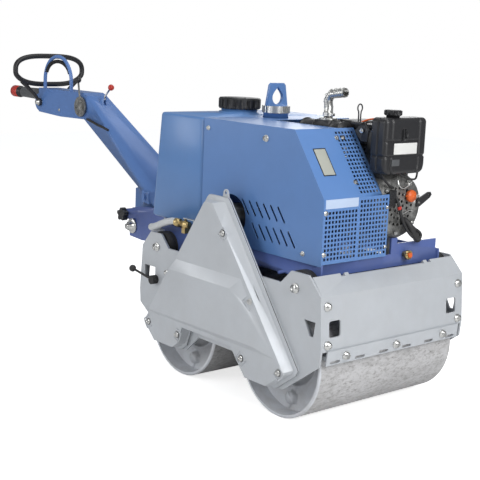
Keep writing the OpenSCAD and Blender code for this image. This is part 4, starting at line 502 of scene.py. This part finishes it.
def add_tube(shape, path, radius, sides=14, closed=False):
    """A round rod along a path; radius may be a function of the share of the path."""
    path = [Vector(p) for p in path]
    n = len(path)
    wide = radius if callable(radius) else (lambda share: radius)
    levels, side = [], None
    for i, point in enumerate(path):
        ahead = path[(i + 1) % n] if closed else path[min(i + 1, n - 1)]
        behind = path[i - 1] if closed else path[max(i - 1, 0)]
        along = (ahead - behind).normalized()
        if side is None:
            side = along.orthogonal().normalized()
        side = (side - along * side.dot(along)).normalized()
        other = along.cross(side)
        r = wide(i / (n - 1))
        levels.append([shape.verts.new(point + r * (math.cos(t) * side + math.sin(t) * other))
                       for t in round_angles(sides)])
    for i in range(n if closed else n - 1):
        a, b = levels[i], levels[(i + 1) % n]
        shift = 0
        if closed and i == n - 1:
            shift = min(range(sides), key=lambda m: (a[0].co - b[m].co).length)
        for k in range(sides):
            m = (k + 1) % sides
            shape.faces.new([a[k], a[m], b[(m + shift) % sides], b[(k + shift) % sides]])
    if not closed:
        shape.faces.new(levels[0])
        shape.faces.new(reversed(levels[-1]))


def lofted(levels):
    """A closed solid through outlines, each given with its y and pairs of x and z."""
    shape = bmesh.new()
    rows = [[shape.verts.new((x, y, z)) for x, z in outline] for y, outline in levels]
    for a, b in zip(rows, rows[1:]):
        for k in range(len(a)):
            m = (k + 1) % len(a)
            shape.faces.new([a[k], a[m], b[m], b[k]])
    shape.faces.new(rows[0])
    shape.faces.new(list(reversed(rows[-1])))
    return shape


def inset(outline, by):
    """The outline moved inward; it runs anticlockwise seen from the front."""
    out, n = [], len(outline)
    for k in range(n):
        a, b, c = (Vector(outline[(k + j) % n]) for j in (-1, 0, 1))
        u, v = (b - a).normalized(), (c - b).normalized()
        p, q = Vector((-u.y, u.x)), Vector((-v.y, v.x))
        out.append(tuple(b + (p + q) / (1 + p.dot(q)) * by))
    return out


def settle(item):
    """Applies an object's modifiers to its mesh."""
    graph = bpy.context.evaluated_depsgraph_get()
    graph.update()
    mesh = bpy.data.meshes.new_from_object(item.evaluated_get(graph))
    item.modifiers.clear()
    item.data = mesh


def carve(item, tools):
    """Joins shapes to an object, or cuts them from it, one after the other."""
    for way, shape in tools:
        tool = plain_object("tool", shape)
        cut = item.modifiers.new("cut", "BOOLEAN")
        cut.object, cut.operation, cut.solver = tool, way, "EXACT"
        settle(item)
        bpy.data.objects.remove(tool)


# ---------------------------------------------------------------- geometry node trees for what repeats


def geometry_tree(name, inputs):
    shaped = [("Geometry", "Geometry")]
    return group(name, "GeometryNodeTree", [("Geometry", "Geometry", None)] + inputs, shaped)


def finish_tree(tree, geometry, given, out):
    real = put(tree, "GeometryNodeRealizeInstances", Geometry=geometry)["Geometry"]
    done = put(tree, "GeometryNodeSetMaterial", Geometry=real, Material=given["Finish"])["Geometry"]
    return send(tree, out, Geometry=done)


def make_screw_tree():
    """Hexagon heads with a crown, on washers, set on points and turned along each point's aim."""
    tree, given, out = geometry_tree("screws_on_points", [
        ("Across", "Float", 0.012), ("Head", "Float", 0.006), ("Washer", "Float", 0.022),
        ("Washer Height", "Float", 0.002), ("Seed", "Int", 4), ("Finish", "Material", None)])
    join = tree.nodes.new("GeometryNodeJoinGeometry")

    def add_disc(corners, radius, depth, middle):
        disc = put(tree, "GeometryNodeMeshCylinder", Vertices=corners, Radius=radius, Depth=depth)["Mesh"]
        up = put(tree, "ShaderNodeCombineXYZ", Z=middle)["Vector"]
        disc = put(tree, "GeometryNodeTransform", Geometry=disc, Translation=up)["Geometry"]
        tree.links.new(disc, join.inputs["Geometry"])

    def share(label, by):
        return maths(tree, "MULTIPLY", given[label], by)

    def above_washer(height):
        return maths(tree, "ADD", given["Washer Height"], height)

    add_disc(6, share("Across", 0.5), given["Head"], above_washer(share("Head", 0.5)))
    add_disc(12, share("Across", 0.3), given["Head"], above_washer(share("Head", 0.62)))
    add_disc(24, share("Washer", 0.5), given["Washer Height"], share("Washer Height", 0.5))
    aim = put(tree, "GeometryNodeInputNamedAttribute", {"data_type": "FLOAT_VECTOR"}, Name="aim")["Attribute"]
    turned = put(tree, "FunctionNodeAlignRotationToVector", {"axis": "Z"}, Vector=aim)["Rotation"]
    placed = put(tree, "GeometryNodeInstanceOnPoints", Points=given["Geometry"], Instance=join.outputs["Geometry"],
                 Rotation=turned)["Instances"]
    chance = put(tree, "FunctionNodeRandomValue", {"data_type": "FLOAT"}, Seed=given["Seed"])[1]
    spin = put(tree, "ShaderNodeCombineXYZ", Z=chance)["Vector"]
    placed = put(tree, "GeometryNodeRotateInstances", Instances=placed, Rotation=spin)["Instances"]
    return finish_tree(tree, placed, given, out)


def make_ring_tree():
    """Thin rings threaded on a path, for ribs and segment seams."""
    tree, given, out = geometry_tree("rings_on_path", [
        ("Count", "Int", 10), ("Radius", "Float", 0.01), ("Thickness", "Float", 0.002), ("Finish", "Material", None)])

    def circle(corners, label):
        return put(tree, "GeometryNodeCurvePrimitiveCircle", {"mode": "RADIUS"}, Resolution=corners,
                   Radius=given[label])["Curve"]

    curve = put(tree, "GeometryNodeMeshToCurve", Mesh=given["Geometry"])["Curve"]
    spots = put(tree, "GeometryNodeCurveToPoints", {"mode": "COUNT"}, Curve=curve, Count=given["Count"])
    ring = put(tree, "GeometryNodeCurveToMesh", Curve=circle(20, "Radius"),
               Profile_Curve=circle(6, "Thickness"))["Mesh"]
    placed = put(tree, "GeometryNodeInstanceOnPoints", Points=spots["Points"], Instance=ring,
                 Rotation=spots["Rotation"])["Instances"]
    return finish_tree(tree, placed, given, out)


screw_tree = make_screw_tree()
ring_tree = make_ring_tree()
screw_seed = 4


def grown(name, source, tree, values, body, crease=32):
    """Runs a geometry tree on a source mesh and keeps the result as a plain piece."""
    item = linked(name + "_source", source)
    run = item.modifiers.new("grow", "NODES")
    run.node_group = tree
    for socket in tree.interface.items_tree:
        if socket.item_type == "SOCKET" and socket.in_out == "INPUT" and socket.name in values:
            run[socket.identifier] = values[socket.name]
    settle(item)
    mesh = item.data
    bpy.data.objects.remove(item)
    smooth(mesh, crease)
    return carried(linked(name, mesh), body)


def screws(name, places, body, washer, washer_height, head=5, across=10):
    """Zinc screws at places given in millimetres, each with the way that its head faces."""
    mesh = bpy.data.meshes.new(name)
    mesh.from_pydata([Vector(place) * mm for place, _ in places], [], [])
    aims = mesh.attributes.new("aim", "FLOAT_VECTOR", "POINT")
    for k, (_, aim) in enumerate(places):
        aims.data[k].vector = Vector(aim).normalized()
    values = {"Across": across * mm, "Head": head * mm, "Washer": washer * mm, "Washer Height": washer_height * mm,
              "Seed": screw_seed, "Finish": finishes["zinc"]}
    return grown(name, mesh, screw_tree, values, body)


def rings(name, path, count, radius, thickness, body, finish_name):
    mesh = bpy.data.meshes.new(name)
    mesh.from_pydata([Vector(p) * mm for p in path], [(k, k + 1) for k in range(len(path) - 1)], [])
    values = {"Count": count, "Radius": radius * mm, "Thickness": thickness * mm, "Finish": finishes[finish_name]}
    return grown(name, mesh, ring_tree, values, body, 60)


# ---------------------------------------------------------------- the chain cover, with its pressed panel and pockets

cover_rim = [(24.75, 703), (12.75, 713), (-87.25, 713), (-99.25, 703), (-429.5, 198), (-417.5, 166), (-359.5, 113),
             (-227.5, 113), (-195.5, 135), (-170.5, 203), (91.5, 203), (125.5, 168), (175.5, 113), (299.5, 113),
             (391.5, 180), (401.5, 198)]
cover_foot = [(6.75, 692), (0.75, 698), (-77.25, 698), (-83.25, 692), (-411.5, 200), (-400.5, 172), (-351.5, 122),
              (-233.5, 122), (-203.5, 143), (-175.5, 211), (97.5, 211), (131.5, 173), (179.5, 122), (293.5, 122),
              (377.5, 184), (383.5, 198)]
cover_ridge = [(-17.25, 686), (-25.25, 693), (-65.25, 693), (-73.25, 686), (-407.5, 198), (-397.5, 168), (-348.5, 125),
               (-235.5, 125), (-205.5, 146), (-177.5, 214), (101.5, 214), (135.5, 176), (181.5, 125), (287.5, 125),
               (366.5, 180), (372.5, 192)]
raise_foot = [(-221.5, 462), (145.5, 462), (333.5, 226), (-379.5, 230)]
raise_top = [(-247.5, 420), (103.5, 420), (233.5, 248), (-365.5, 244)]
rim_back, rim_front, foot_y, ridge_y, raise_y = -361, -358, -359.5, -398, -414
cover_wall = 3.2
cover_soft, soft_edge_angle = 3.2 * mm, 18
ridge_angle = math.atan2(cover_ridge[0][1] - cover_ridge[-1][1], cover_ridge[-1][0] - cover_ridge[0][0])
# x, z and turn of the bolt pockets
pockets = [(37.7, 598, -ridge_angle), (349.5, 186, -ridge_angle), (159.5, 186, 0.75), (-205.5, 180, -1.2),
           (-386.5, 188, 1.0)]


def pocket(x, z, turn, depth=1.7, half=21, outer=-402):
    """A tool with soft edges that cuts a square pocket, turned with the cover's edge."""
    shape = bmesh.new()
    add_box(shape, (x - half, outer, z - half), (x + half, ridge_y + depth, z + half), soft=6, steps=3,
            turn=Matrix.Rotation(turn, 3, "Y"))
    return shape


def chain_cover():
    body = body_of_node["chain_cover"]
    cover = plain_object("pressed_chain_cover", lofted([(rim_back, cover_rim), (rim_front, cover_rim)]))
    raise_pocket = pocket(195.5, 392, -ridge_angle, depth=0.0, half=24, outer=-420)
    hollow = lofted([(ridge_y + 3, inset(cover_ridge, cover_wall)), (-357, inset(cover_foot, cover_wall))])
    carve(cover, [
        ("UNION", lofted([(ridge_y, cover_ridge), (foot_y, cover_foot)])),
        ("UNION", lofted([(raise_y, raise_top), (ridge_y + 1, raise_foot)])),
    ] + [("DIFFERENCE", tool) for tool in [raise_pocket] + [pocket(*place) for place in pockets] + [hollow]])
    soft = cover.modifiers.new("soft", "BEVEL")
    soft.width = cover_soft
    soft.segments = 2
    soft.limit_method = "ANGLE"
    soft.angle_limit = math.radians(soft_edge_angle)
    settle(cover)
    carried(painted(cover, "frame_grey", 30), body, ["chain_cover"])
    # pressed rims round the pockets, open toward the slope
    corners = [(-20, 12), (-20, -14), (-14, -20), (14, -20), (20, -14), (20, 12)]
    shape = bmesh.new()
    for x, z, turn in pockets:
        u, w = math.cos(turn), math.sin(turn)
        path = [(x + a * u + b * w, ridge_y - 0.6, z - a * w + b * u) for a, b in corners]
        add_tube(shape, smooth_path(path, 4), 2.3, 10)
    own_piece("cover_pocket_rims", shape, body, "frame_grey", crease=60)
    # washers that fill the pockets under the heads
    shape = bmesh.new()
    for x, z, turn in pockets:
        add_turned(shape, rod(13, 0, 1.7), (x, -396.3, z), (0, -1, 0), 28)
    own_piece("cover_washers", shape, body, "zinc")
    # lug with a tie hole behind the top of the case
    lug_x, lug_z, lug_radius = -5, 728, 13
    arc = [(lug_x + lug_radius * math.cos(t), lug_z + lug_radius * math.sin(t))
           for t in (math.pi * k / 9 for k in range(10))]
    outline = [(-24, 700), (14, 700)] + arc
    lug = plain_object("tie_lug", lofted([(-355, outline), (-350, outline)]))
    hole = bmesh.new()
    add_turned(hole, rod(5.5, 0, 30), (lug_x, -340, lug_z), (0, -1, 0), 24)
    carve(lug, [("DIFFERENCE", hole)])
    carried(painted(lug, "frame_grey", 30), body)


# ---------------------------------------------------------------- the fuel tank with its grooves, recess and bare plate

tank_low, tank_high, tank_round = Vector((371, -58, 826)), Vector((445, 146, 1014)), 16
tank_cuts = 63
low_groove, high_groove = 887, 938  # z of the level grooves
side_groove, end_groove = 106, -26  # y of the upright grooves in front
seam_groove = 408  # x of the groove round the ends
groove_depth, side_depth, seam_depth = 4.0, 4.4, 3.4
recess_y, recess_z, recess_wide, recess_tall, recess_rim = 32, 957, 14, 21, 1.25
recess_depth, bar_depth, bar_half = 9, 2, 3.4
squarely = 0.6  # a face that looks this much along an axis belongs to that side
narrow_below, narrow_over, narrow_by = 862, 36, 0.13


def dip(value, centre, half):
    """A smooth groove across a value: one in the middle, nothing outside."""
    t = abs(value - centre) / half
    return 0.0 if t >= 1 else 0.5 + 0.5 * math.cos(math.pi * t)


def sunk(way, x, y, z):
    """How deep the tank's face lies at a place, on the side that looks along the way."""
    level = groove_depth * dip(z, low_groove, 6.5)
    if way.x > squarely:
        upper = groove_depth * dip(z, high_groove, 6) if y < side_groove else 0.0
        end = 0.0 if low_groove <= z <= high_groove else groove_depth * dip(y, end_groove, 5.5)
        depth = max(level, upper, side_depth * dip(y, side_groove, 6.5), end)
        oval = ((y - recess_y) / recess_wide) ** 2 + ((z - recess_z) / recess_tall) ** 2
        if oval < recess_rim:
            full = bar_depth if abs(y - recess_y) < bar_half else recess_depth
            depth = max(depth, full * min(1, (recess_rim - oval) * 4))
        return depth
    if abs(way.y) > squarely:
        return max(level, seam_depth * dip(x, seam_groove, 6))
    return 0.0


def fuel_tank():
    shape = bmesh.new()
    bmesh.ops.create_cube(shape, size=2.0)
    bmesh.ops.subdivide_edges(shape, edges=shape.edges[:], cuts=tank_cuts, use_grid_fill=True)
    middle, half = (tank_low + tank_high) / 2, (tank_high - tank_low) / 2
    for v in shape.verts:
        p = Vector([m + h * c for m, h, c in zip(middle, half, v.co)])
        core = Vector([min(max(c, a + tank_round), b - tank_round) for c, a, b in zip(p, tank_low, tank_high)])
        way = Vector((0, 0, 0))
        if (p - core).length > 1e-6:
            way = (p - core).normalized()
            p = core + way * tank_round
        p = p - way * sunk(way, *p)
        narrow = max(0.0, (narrow_below - p.z) / narrow_over)
        p.y = middle.y + (p.y - middle.y) * (1 - narrow_by * narrow * narrow)
        v.co = p
    add_box(shape, (282, 66, 957), (384, 94, 966))
    body, slot = body_of_node["fuel_tank"], slot_of_node["fuel_tank"]
    own_piece("moulded_fuel_tank", shape, body, "black_plastic", ["fuel_tank"], 40)
    shape = bmesh.new()
    add_box(shape, (442.6, -16, 894), (446, 97, 931), 1.0)
    own_piece("bare_tank_plate", shape, body, "bare_white")
    shape = bmesh.new()
    add_box(shape, (441, -24, 856), (447, 14, 878), 2.0)
    own_piece("tank_grip_block", shape, body, "grey_plastic")
    # dark bracket with its screw beside the tank
    outline = [(300, 962), (332, 994), (364, 968), (356, 930), (326, 928)]
    shape = lofted([(-56, outline), (-50, outline)])
    for v in shape.verts:
        v.co.y += 6 * dip(v.co.x, 332, 40)
    own_piece("tank_side_bracket", shape, body, "engine_black")
    screws("bracket_screw", [((333, -56, 964), (0, -1, 0))], body, 16, 1.5)


# ---------------------------------------------------------------- small engine parts that show in front


def engine_details():
    body = body_of_node["blower_housing"]
    shape = bmesh.new()
    add_tube(shape, smooth_path([
        (404, 49, 752), (418, 52, 728), (424, 62, 690), (428, 82, 648), (430, 112, 614), (428, 146, 596),
        (424, 172, 597), (420, 176, 610), (417, 158, 624), (414, 132, 632)]), 5.2, 12)
    add_tube(shape, smooth_path([(426, 28, 830), (437, 66, 812), (434, 112, 806), (420, 138, 826)]), 3.4, 10)
    add_tube(shape, smooth_path([(414, -34, 830), (420, -22, 806), (410, 12, 786), (404, 40, 776)]), 3.8, 10)
    own_piece("engine_hose", shape, body, "rubber")
    shape = bmesh.new()
    add_turned(shape, rod(7.2, -5, 5), (421.5, 57, 708), (0.1, 0.25, -1), 20)
    own_piece("hose_clip", shape, body, "red_plastic")
    shape = bmesh.new()
    add_box(shape, (396, 16, 712), (413, 50, 768), 4, 3)
    for low in range(720, 770, 10):
        add_box(shape, (412, 19, low), (415, 47, low + 4), 0.8, 1)
    own_piece("engine_box", shape, body, "engine_black")
    # governor rods and a spring in front of the housing
    shape = bmesh.new()
    add_tube(shape, smooth_path([
        (404, 60, 800), (410, 64, 780), (408, 90, 772), (410, 118, 786), (404, 132, 792)]), 2.2, 8)
    add_tube(shape, smooth_path([(404, 70, 690), (409, 90, 684), (409, 120, 694), (404, 146, 690)]), 2.0, 8)
    coil = [(409 + 4.5 * math.cos(1.2 * k), 98 + 1.1 * k, 786 + 4.5 * math.sin(1.2 * k)) for k in range(22)]
    add_tube(shape, coil, 1.1, 6)
    own_piece("governor_rods", shape, body, "zinc")
    round_housing = [(403, 80 + 92 * math.cos(t), 709 + 92 * math.sin(t))
                     for t in (math.radians(degrees) for degrees in (20, 68, 140, 200, 262, 318))]
    screws("housing_screws", [(place, (1, 0, 0)) for place in round_housing], body, 15, 1.4)
    # carrying ring above the engine
    shape = bmesh.new()
    eye = [(311, -47 + 11 * math.cos(t), 1038 + 13 * math.sin(t))
           for t in (math.pi * (-0.3 + 1.6 * k / 18) for k in range(19))]
    add_tube(shape, [(311, -52, 992), (311, -52, 1016)] + eye[::-1] + [(311, -42, 1016), (311, -42, 992)], 2.4, 8)
    add_box(shape, (286, -62, 984), (334, -32, 992), 2)
    own_piece("engine_ring", shape, body, "engine_black")
    # end cap of the drain fitting
    shape = bmesh.new()
    add_turned(shape, [(0, 0), (9.5, 0), (9.5, 5), (7.5, 7), (0, 7)], (427.2, 119, 540), (1, 0, 0), 24)
    own_piece("drain_end_cap", shape, body_of_node["brass_fittings"], "orange_plastic")
    # rocker cover and air duct on top
    shape = bmesh.new()
    add_box(shape, (176, -8, 962), (276, 120, 990), 8, 3)
    add_box(shape, (262, -20, 966), (372, 60, 984), 5, 2)
    own_piece("rocker_cover", shape, body, "engine_black")
    shape = bmesh.new()
    add_tube(shape, smooth_path([(290, -18, 988), (320, -6, 1000), (352, 20, 1004), (372, 34, 996)]), 3.2, 10)
    own_piece("red_fuel_line", shape, body, "orange_plastic")


# ---------------------------------------------------------------- the drawbar's head: hoops, grip and a screw


def travel_hoop():
    body, slot = body_of_node["travel_hoop"], slot_of_node["travel_hoop"]
    hoop_x, hoop_z, half_width, half_height = -1845, 1064, 184, 68
    square_across, square_up = 0.62, 0.78  # one would make it a plain oval
    shape = bmesh.new()
    loop = []
    for t in round_angles(72):
        c, s = math.cos(t), math.sin(t)
        below = max(-s - 0.2, 0.0)
        wide = half_width * (1 - 0.10 * below)
        loop.append((hoop_x, math.copysign(abs(c) ** square_across, c) * wide,
                     hoop_z + math.copysign(abs(s) ** square_up, s) * half_height))
    add_tube(shape, loop, 12, 20, True)
    for side in (-1, 1):
        arm = [(-1845, side * 150, 1010), (-1844, side * 118, 980), (-1840, side * 84, 946), (-1836, side * 68, 922)]
        add_tube(shape, smooth_path(arm), lambda share: 11 - 3.5 * share, 16)
        add_turned(shape, rod(19, -4, 4), (-1835, side * 62.4, 910), (0, 1, 0), 32)
    own_piece("bent_travel_hoop", shape, body, "black_plastic", ["travel_hoop"], 40)
    shape = bmesh.new()
    for side in (-1, 1):
        add_turned(shape, rod(15.5, 0, 2.4), (-1835, side * 66.6, 910), (0, side, 0), 28)
    own_piece("hoop_washers", shape, body, "yellow_zinc")


def guard_hoop():
    body, slot = body_of_node["guard_hoop"], slot_of_node["guard_hoop"]
    middle_x, hoop_y, half_span, rise = -1683.5, -45, 122.5, 113
    foot_levels = [979, 1000, 1022]
    path = [(middle_x - half_span, hoop_y, z) for z in foot_levels]
    path += [(middle_x - half_span * math.cos(t), hoop_y, foot_levels[-1] + rise * math.sin(t))
             for t in (math.pi * k / 28 for k in range(1, 28))]
    path += [(middle_x + half_span, hoop_y, z) for z in reversed(foot_levels)]
    shape = bmesh.new()
    add_tube(shape, path, 8.5, 18)
    own_piece("bent_guard_hoop", shape, body, "bar_blue", ["guard_hoop"], 40)
    arch = [(middle_x - 108 * math.cos(t), hoop_y, 1046 + 66 * math.sin(t))
            for t in (math.pi * (0.07 + 0.86 * k / 30) for k in range(31))]
    shape = bmesh.new()
    add_tube(shape, arch, 7, 14)
    own_piece("grip_arch", shape, body, "rubber")
    rings("grip_arch_ribs", arch, 34, 7.4, 1.7, body, "rubber")
    screws("head_screws", [((-1654, -54, 885), (0, -1, 0))], body_of_node["control_head"], 15, 1.4, head=4)


# ---------------------------------------------------------------- plates, a strip of painted highlight and screws on the hood


def hood_details():
    body = body_of_node["hood_front"]
    slope_top, slope_foot = Vector((262, 0, 968)), Vector((415, 0, 757))
    down = (slope_foot - slope_top).normalized()
    out = Vector((-down.z, 0, down.x))
    on_slope = Matrix.Translation(slope_top) @ Matrix((down, Vector((0, 1, 0)), out)).transposed().to_4x4()
    # corners as the distance down the slope, y and the height above it
    for name, low, high, finish_name, slot in (
            ("bare_slope_plate_edge", (74, -252, 0), (176, -196, 0.9), "black_plastic", "black_plastic"),
            ("bare_slope_plate", (77, -249, 0), (173, -199, 1.4), "bare_beige", "hood_blue")):
        shape = bmesh.new()
        add_box(shape, low, high, 1.0)
        bmesh.ops.transform(shape, matrix=on_slope, verts=shape.verts)
        own_piece(name, shape, body, finish_name)
    # a pale blue strip just under the bend at the slope's foot: a painted highlight of the lit bend, not a part of the
    # hood
    shape = bmesh.new()
    add_box(shape, (414.6, -286, 727), (416.2, -137, 757), 0.5)
    own_piece("painted_bend_highlight_strip", shape, body, "pale_blue")
    places = [(slope_top + down * far + out * 0.2 + Vector((0, y, 0)), out)
              for far, y in ((38, -94), (38, -124), (206, -124))]
    screws("grille_slope_screws", places, body_of_node["front_grille"], 17, 1.5)


# ---------------------------------------------------------------- exhaust elbow and water cap


def elbow_details():
    body, slot = body_of_node["exhaust_elbow"], slot_of_node["exhaust_elbow"]
    way = smooth_path([(165, -50, 994), (165, -50, 1030), (161, -50, 1054), (177, -50, 1076), (236, -50, 1084.5)], 6)
    rings("elbow_seams", way, 9, 16.2, 1.1, body, "exhaust_steel")
    shape = bmesh.new()
    add_turned(shape, [(16.4, -6), (19, -6), (19, 6), (16.4, 6), (16.4, -6)], (165, -50, 1006))
    add_box(shape, (178, -56, 1001), (192, -44, 1011), 1.5)
    own_piece("elbow_clamp", shape, body, "zinc")


def cap_knurls():
    body, slot = body_of_node["water_cap"], slot_of_node["water_cap"]
    cap_x, cap_radius = -375, 80.2
    to_middle = Matrix.Translation((-cap_x, 0, 0))
    shape = bmesh.new()
    for t in round_angles(60):
        made = add_box(shape, (cap_x - 1.3, -1.3, 994), (cap_x + 1.3, 1.3, 1022))
        to_rim = Matrix.Translation((cap_x + cap_radius * math.cos(t), cap_radius * math.sin(t), 0))
        bmesh.ops.transform(shape, matrix=to_rim @ Matrix.Rotation(t, 4, "Z") @ to_middle, verts=made)
    own_piece("cap_knurls", shape, body, "black_plastic")


# ---------------------------------------------------------------- the CAD pieces, painted, in metres

motor_x, motor_z, motor_core, rim_share = -0.04525, 0.636, 0.04, 0.5
motor_above, motor_beside = 0.54, -0.2  # the travel motor is above the one and to the right of the other
fuel_cap_x, fuel_cap_y, cap_share = 0.41, 0.008, 0.78
drum_axle, drum_radius = 0.2715, 0.2
rolling_from, rolling_half = 0.1972, 0.3165
collar_low, collar_high, post_x, collar_radius = 0.984, 1.0135, -0.163, 0.0405
vibration_ball, vibration_reach = Vector((-1.288, 0, 1.012)), 0.0146
throttle_ball, throttle_reach = Vector((-1.465, -0.066, 1.037)), 0.0155
button_cap_ends = -2.104


def slimmer_motor(shape):
    """Draws in the travel motor's rim beside the top of the chain case."""
    for v in shape.verts:
        if v.co.z > motor_above and v.co.y < motor_beside:
            away = Vector((v.co.x - motor_x, v.co.z - motor_z))
            if away.length > motor_core:
                away *= (motor_core + (away.length - motor_core) * rim_share) / away.length
                v.co.x, v.co.z = away.x + motor_x, away.y + motor_z


def smaller_cap(shape):
    """Draws the fuel cap in about its axis."""
    for v in shape.verts:
        v.co.x = fuel_cap_x + (v.co.x - fuel_cap_x) * cap_share
        v.co.y = fuel_cap_y + (v.co.y - fuel_cap_y) * cap_share


def rolling(axle):
    """The test for a drum's rolling face, given the x of its axle."""
    def test(face):
        reach = Vector((face.center.x - axle, face.center.z - drum_radius)).length
        return reach > rolling_from and abs(face.normal.y) < squarely and abs(face.center.y) < rolling_half
    return test


def on_collar(face):
    """The test for the zinc collar round the lifting post."""
    outside = (face.center.xy - Vector((post_x, 0))).length > collar_radius
    return outside and collar_low < face.center.z < collar_high


first_finish = {"drawbar": "bar_blue", "control_head": "bar_blue", "blower_housing": "cast_grey",
                "throttle_lever": "cast_grey", "stop_button": "red_plastic"}
second_finish = {
    "front_drum": ("drum_face", rolling(drum_axle)),
    "rear_drum": ("drum_face", rolling(-drum_axle)),
    "lifting_eye": ("zinc", on_collar),
    "vibration_lever": ("zinc", lambda face: (face.center - vibration_ball).length > vibration_reach),
    "throttle_lever": ("black_plastic", lambda face: (face.center - throttle_ball).length < throttle_reach),
    "stop_button": ("black_plastic", lambda face: face.center.x > button_cap_ends),
}
edits = {"hydraulic_motors": slimmer_motor, "fuel_cap": smaller_cap}
made_here = {"chain_cover", "fuel_tank", "travel_hoop", "guard_hoop"}

for node in sorted(set(nodes) - made_here):
    piece = dressed(node, first_finish.get(node, slot_of_node[node]), edits.get(node))
    if node in second_finish:
        two_faced(piece.data, *second_finish[node])

chain_cover()
fuel_tank()
engine_details()
travel_hoop()
guard_hoop()
hood_details()
elbow_details()
cap_knurls()
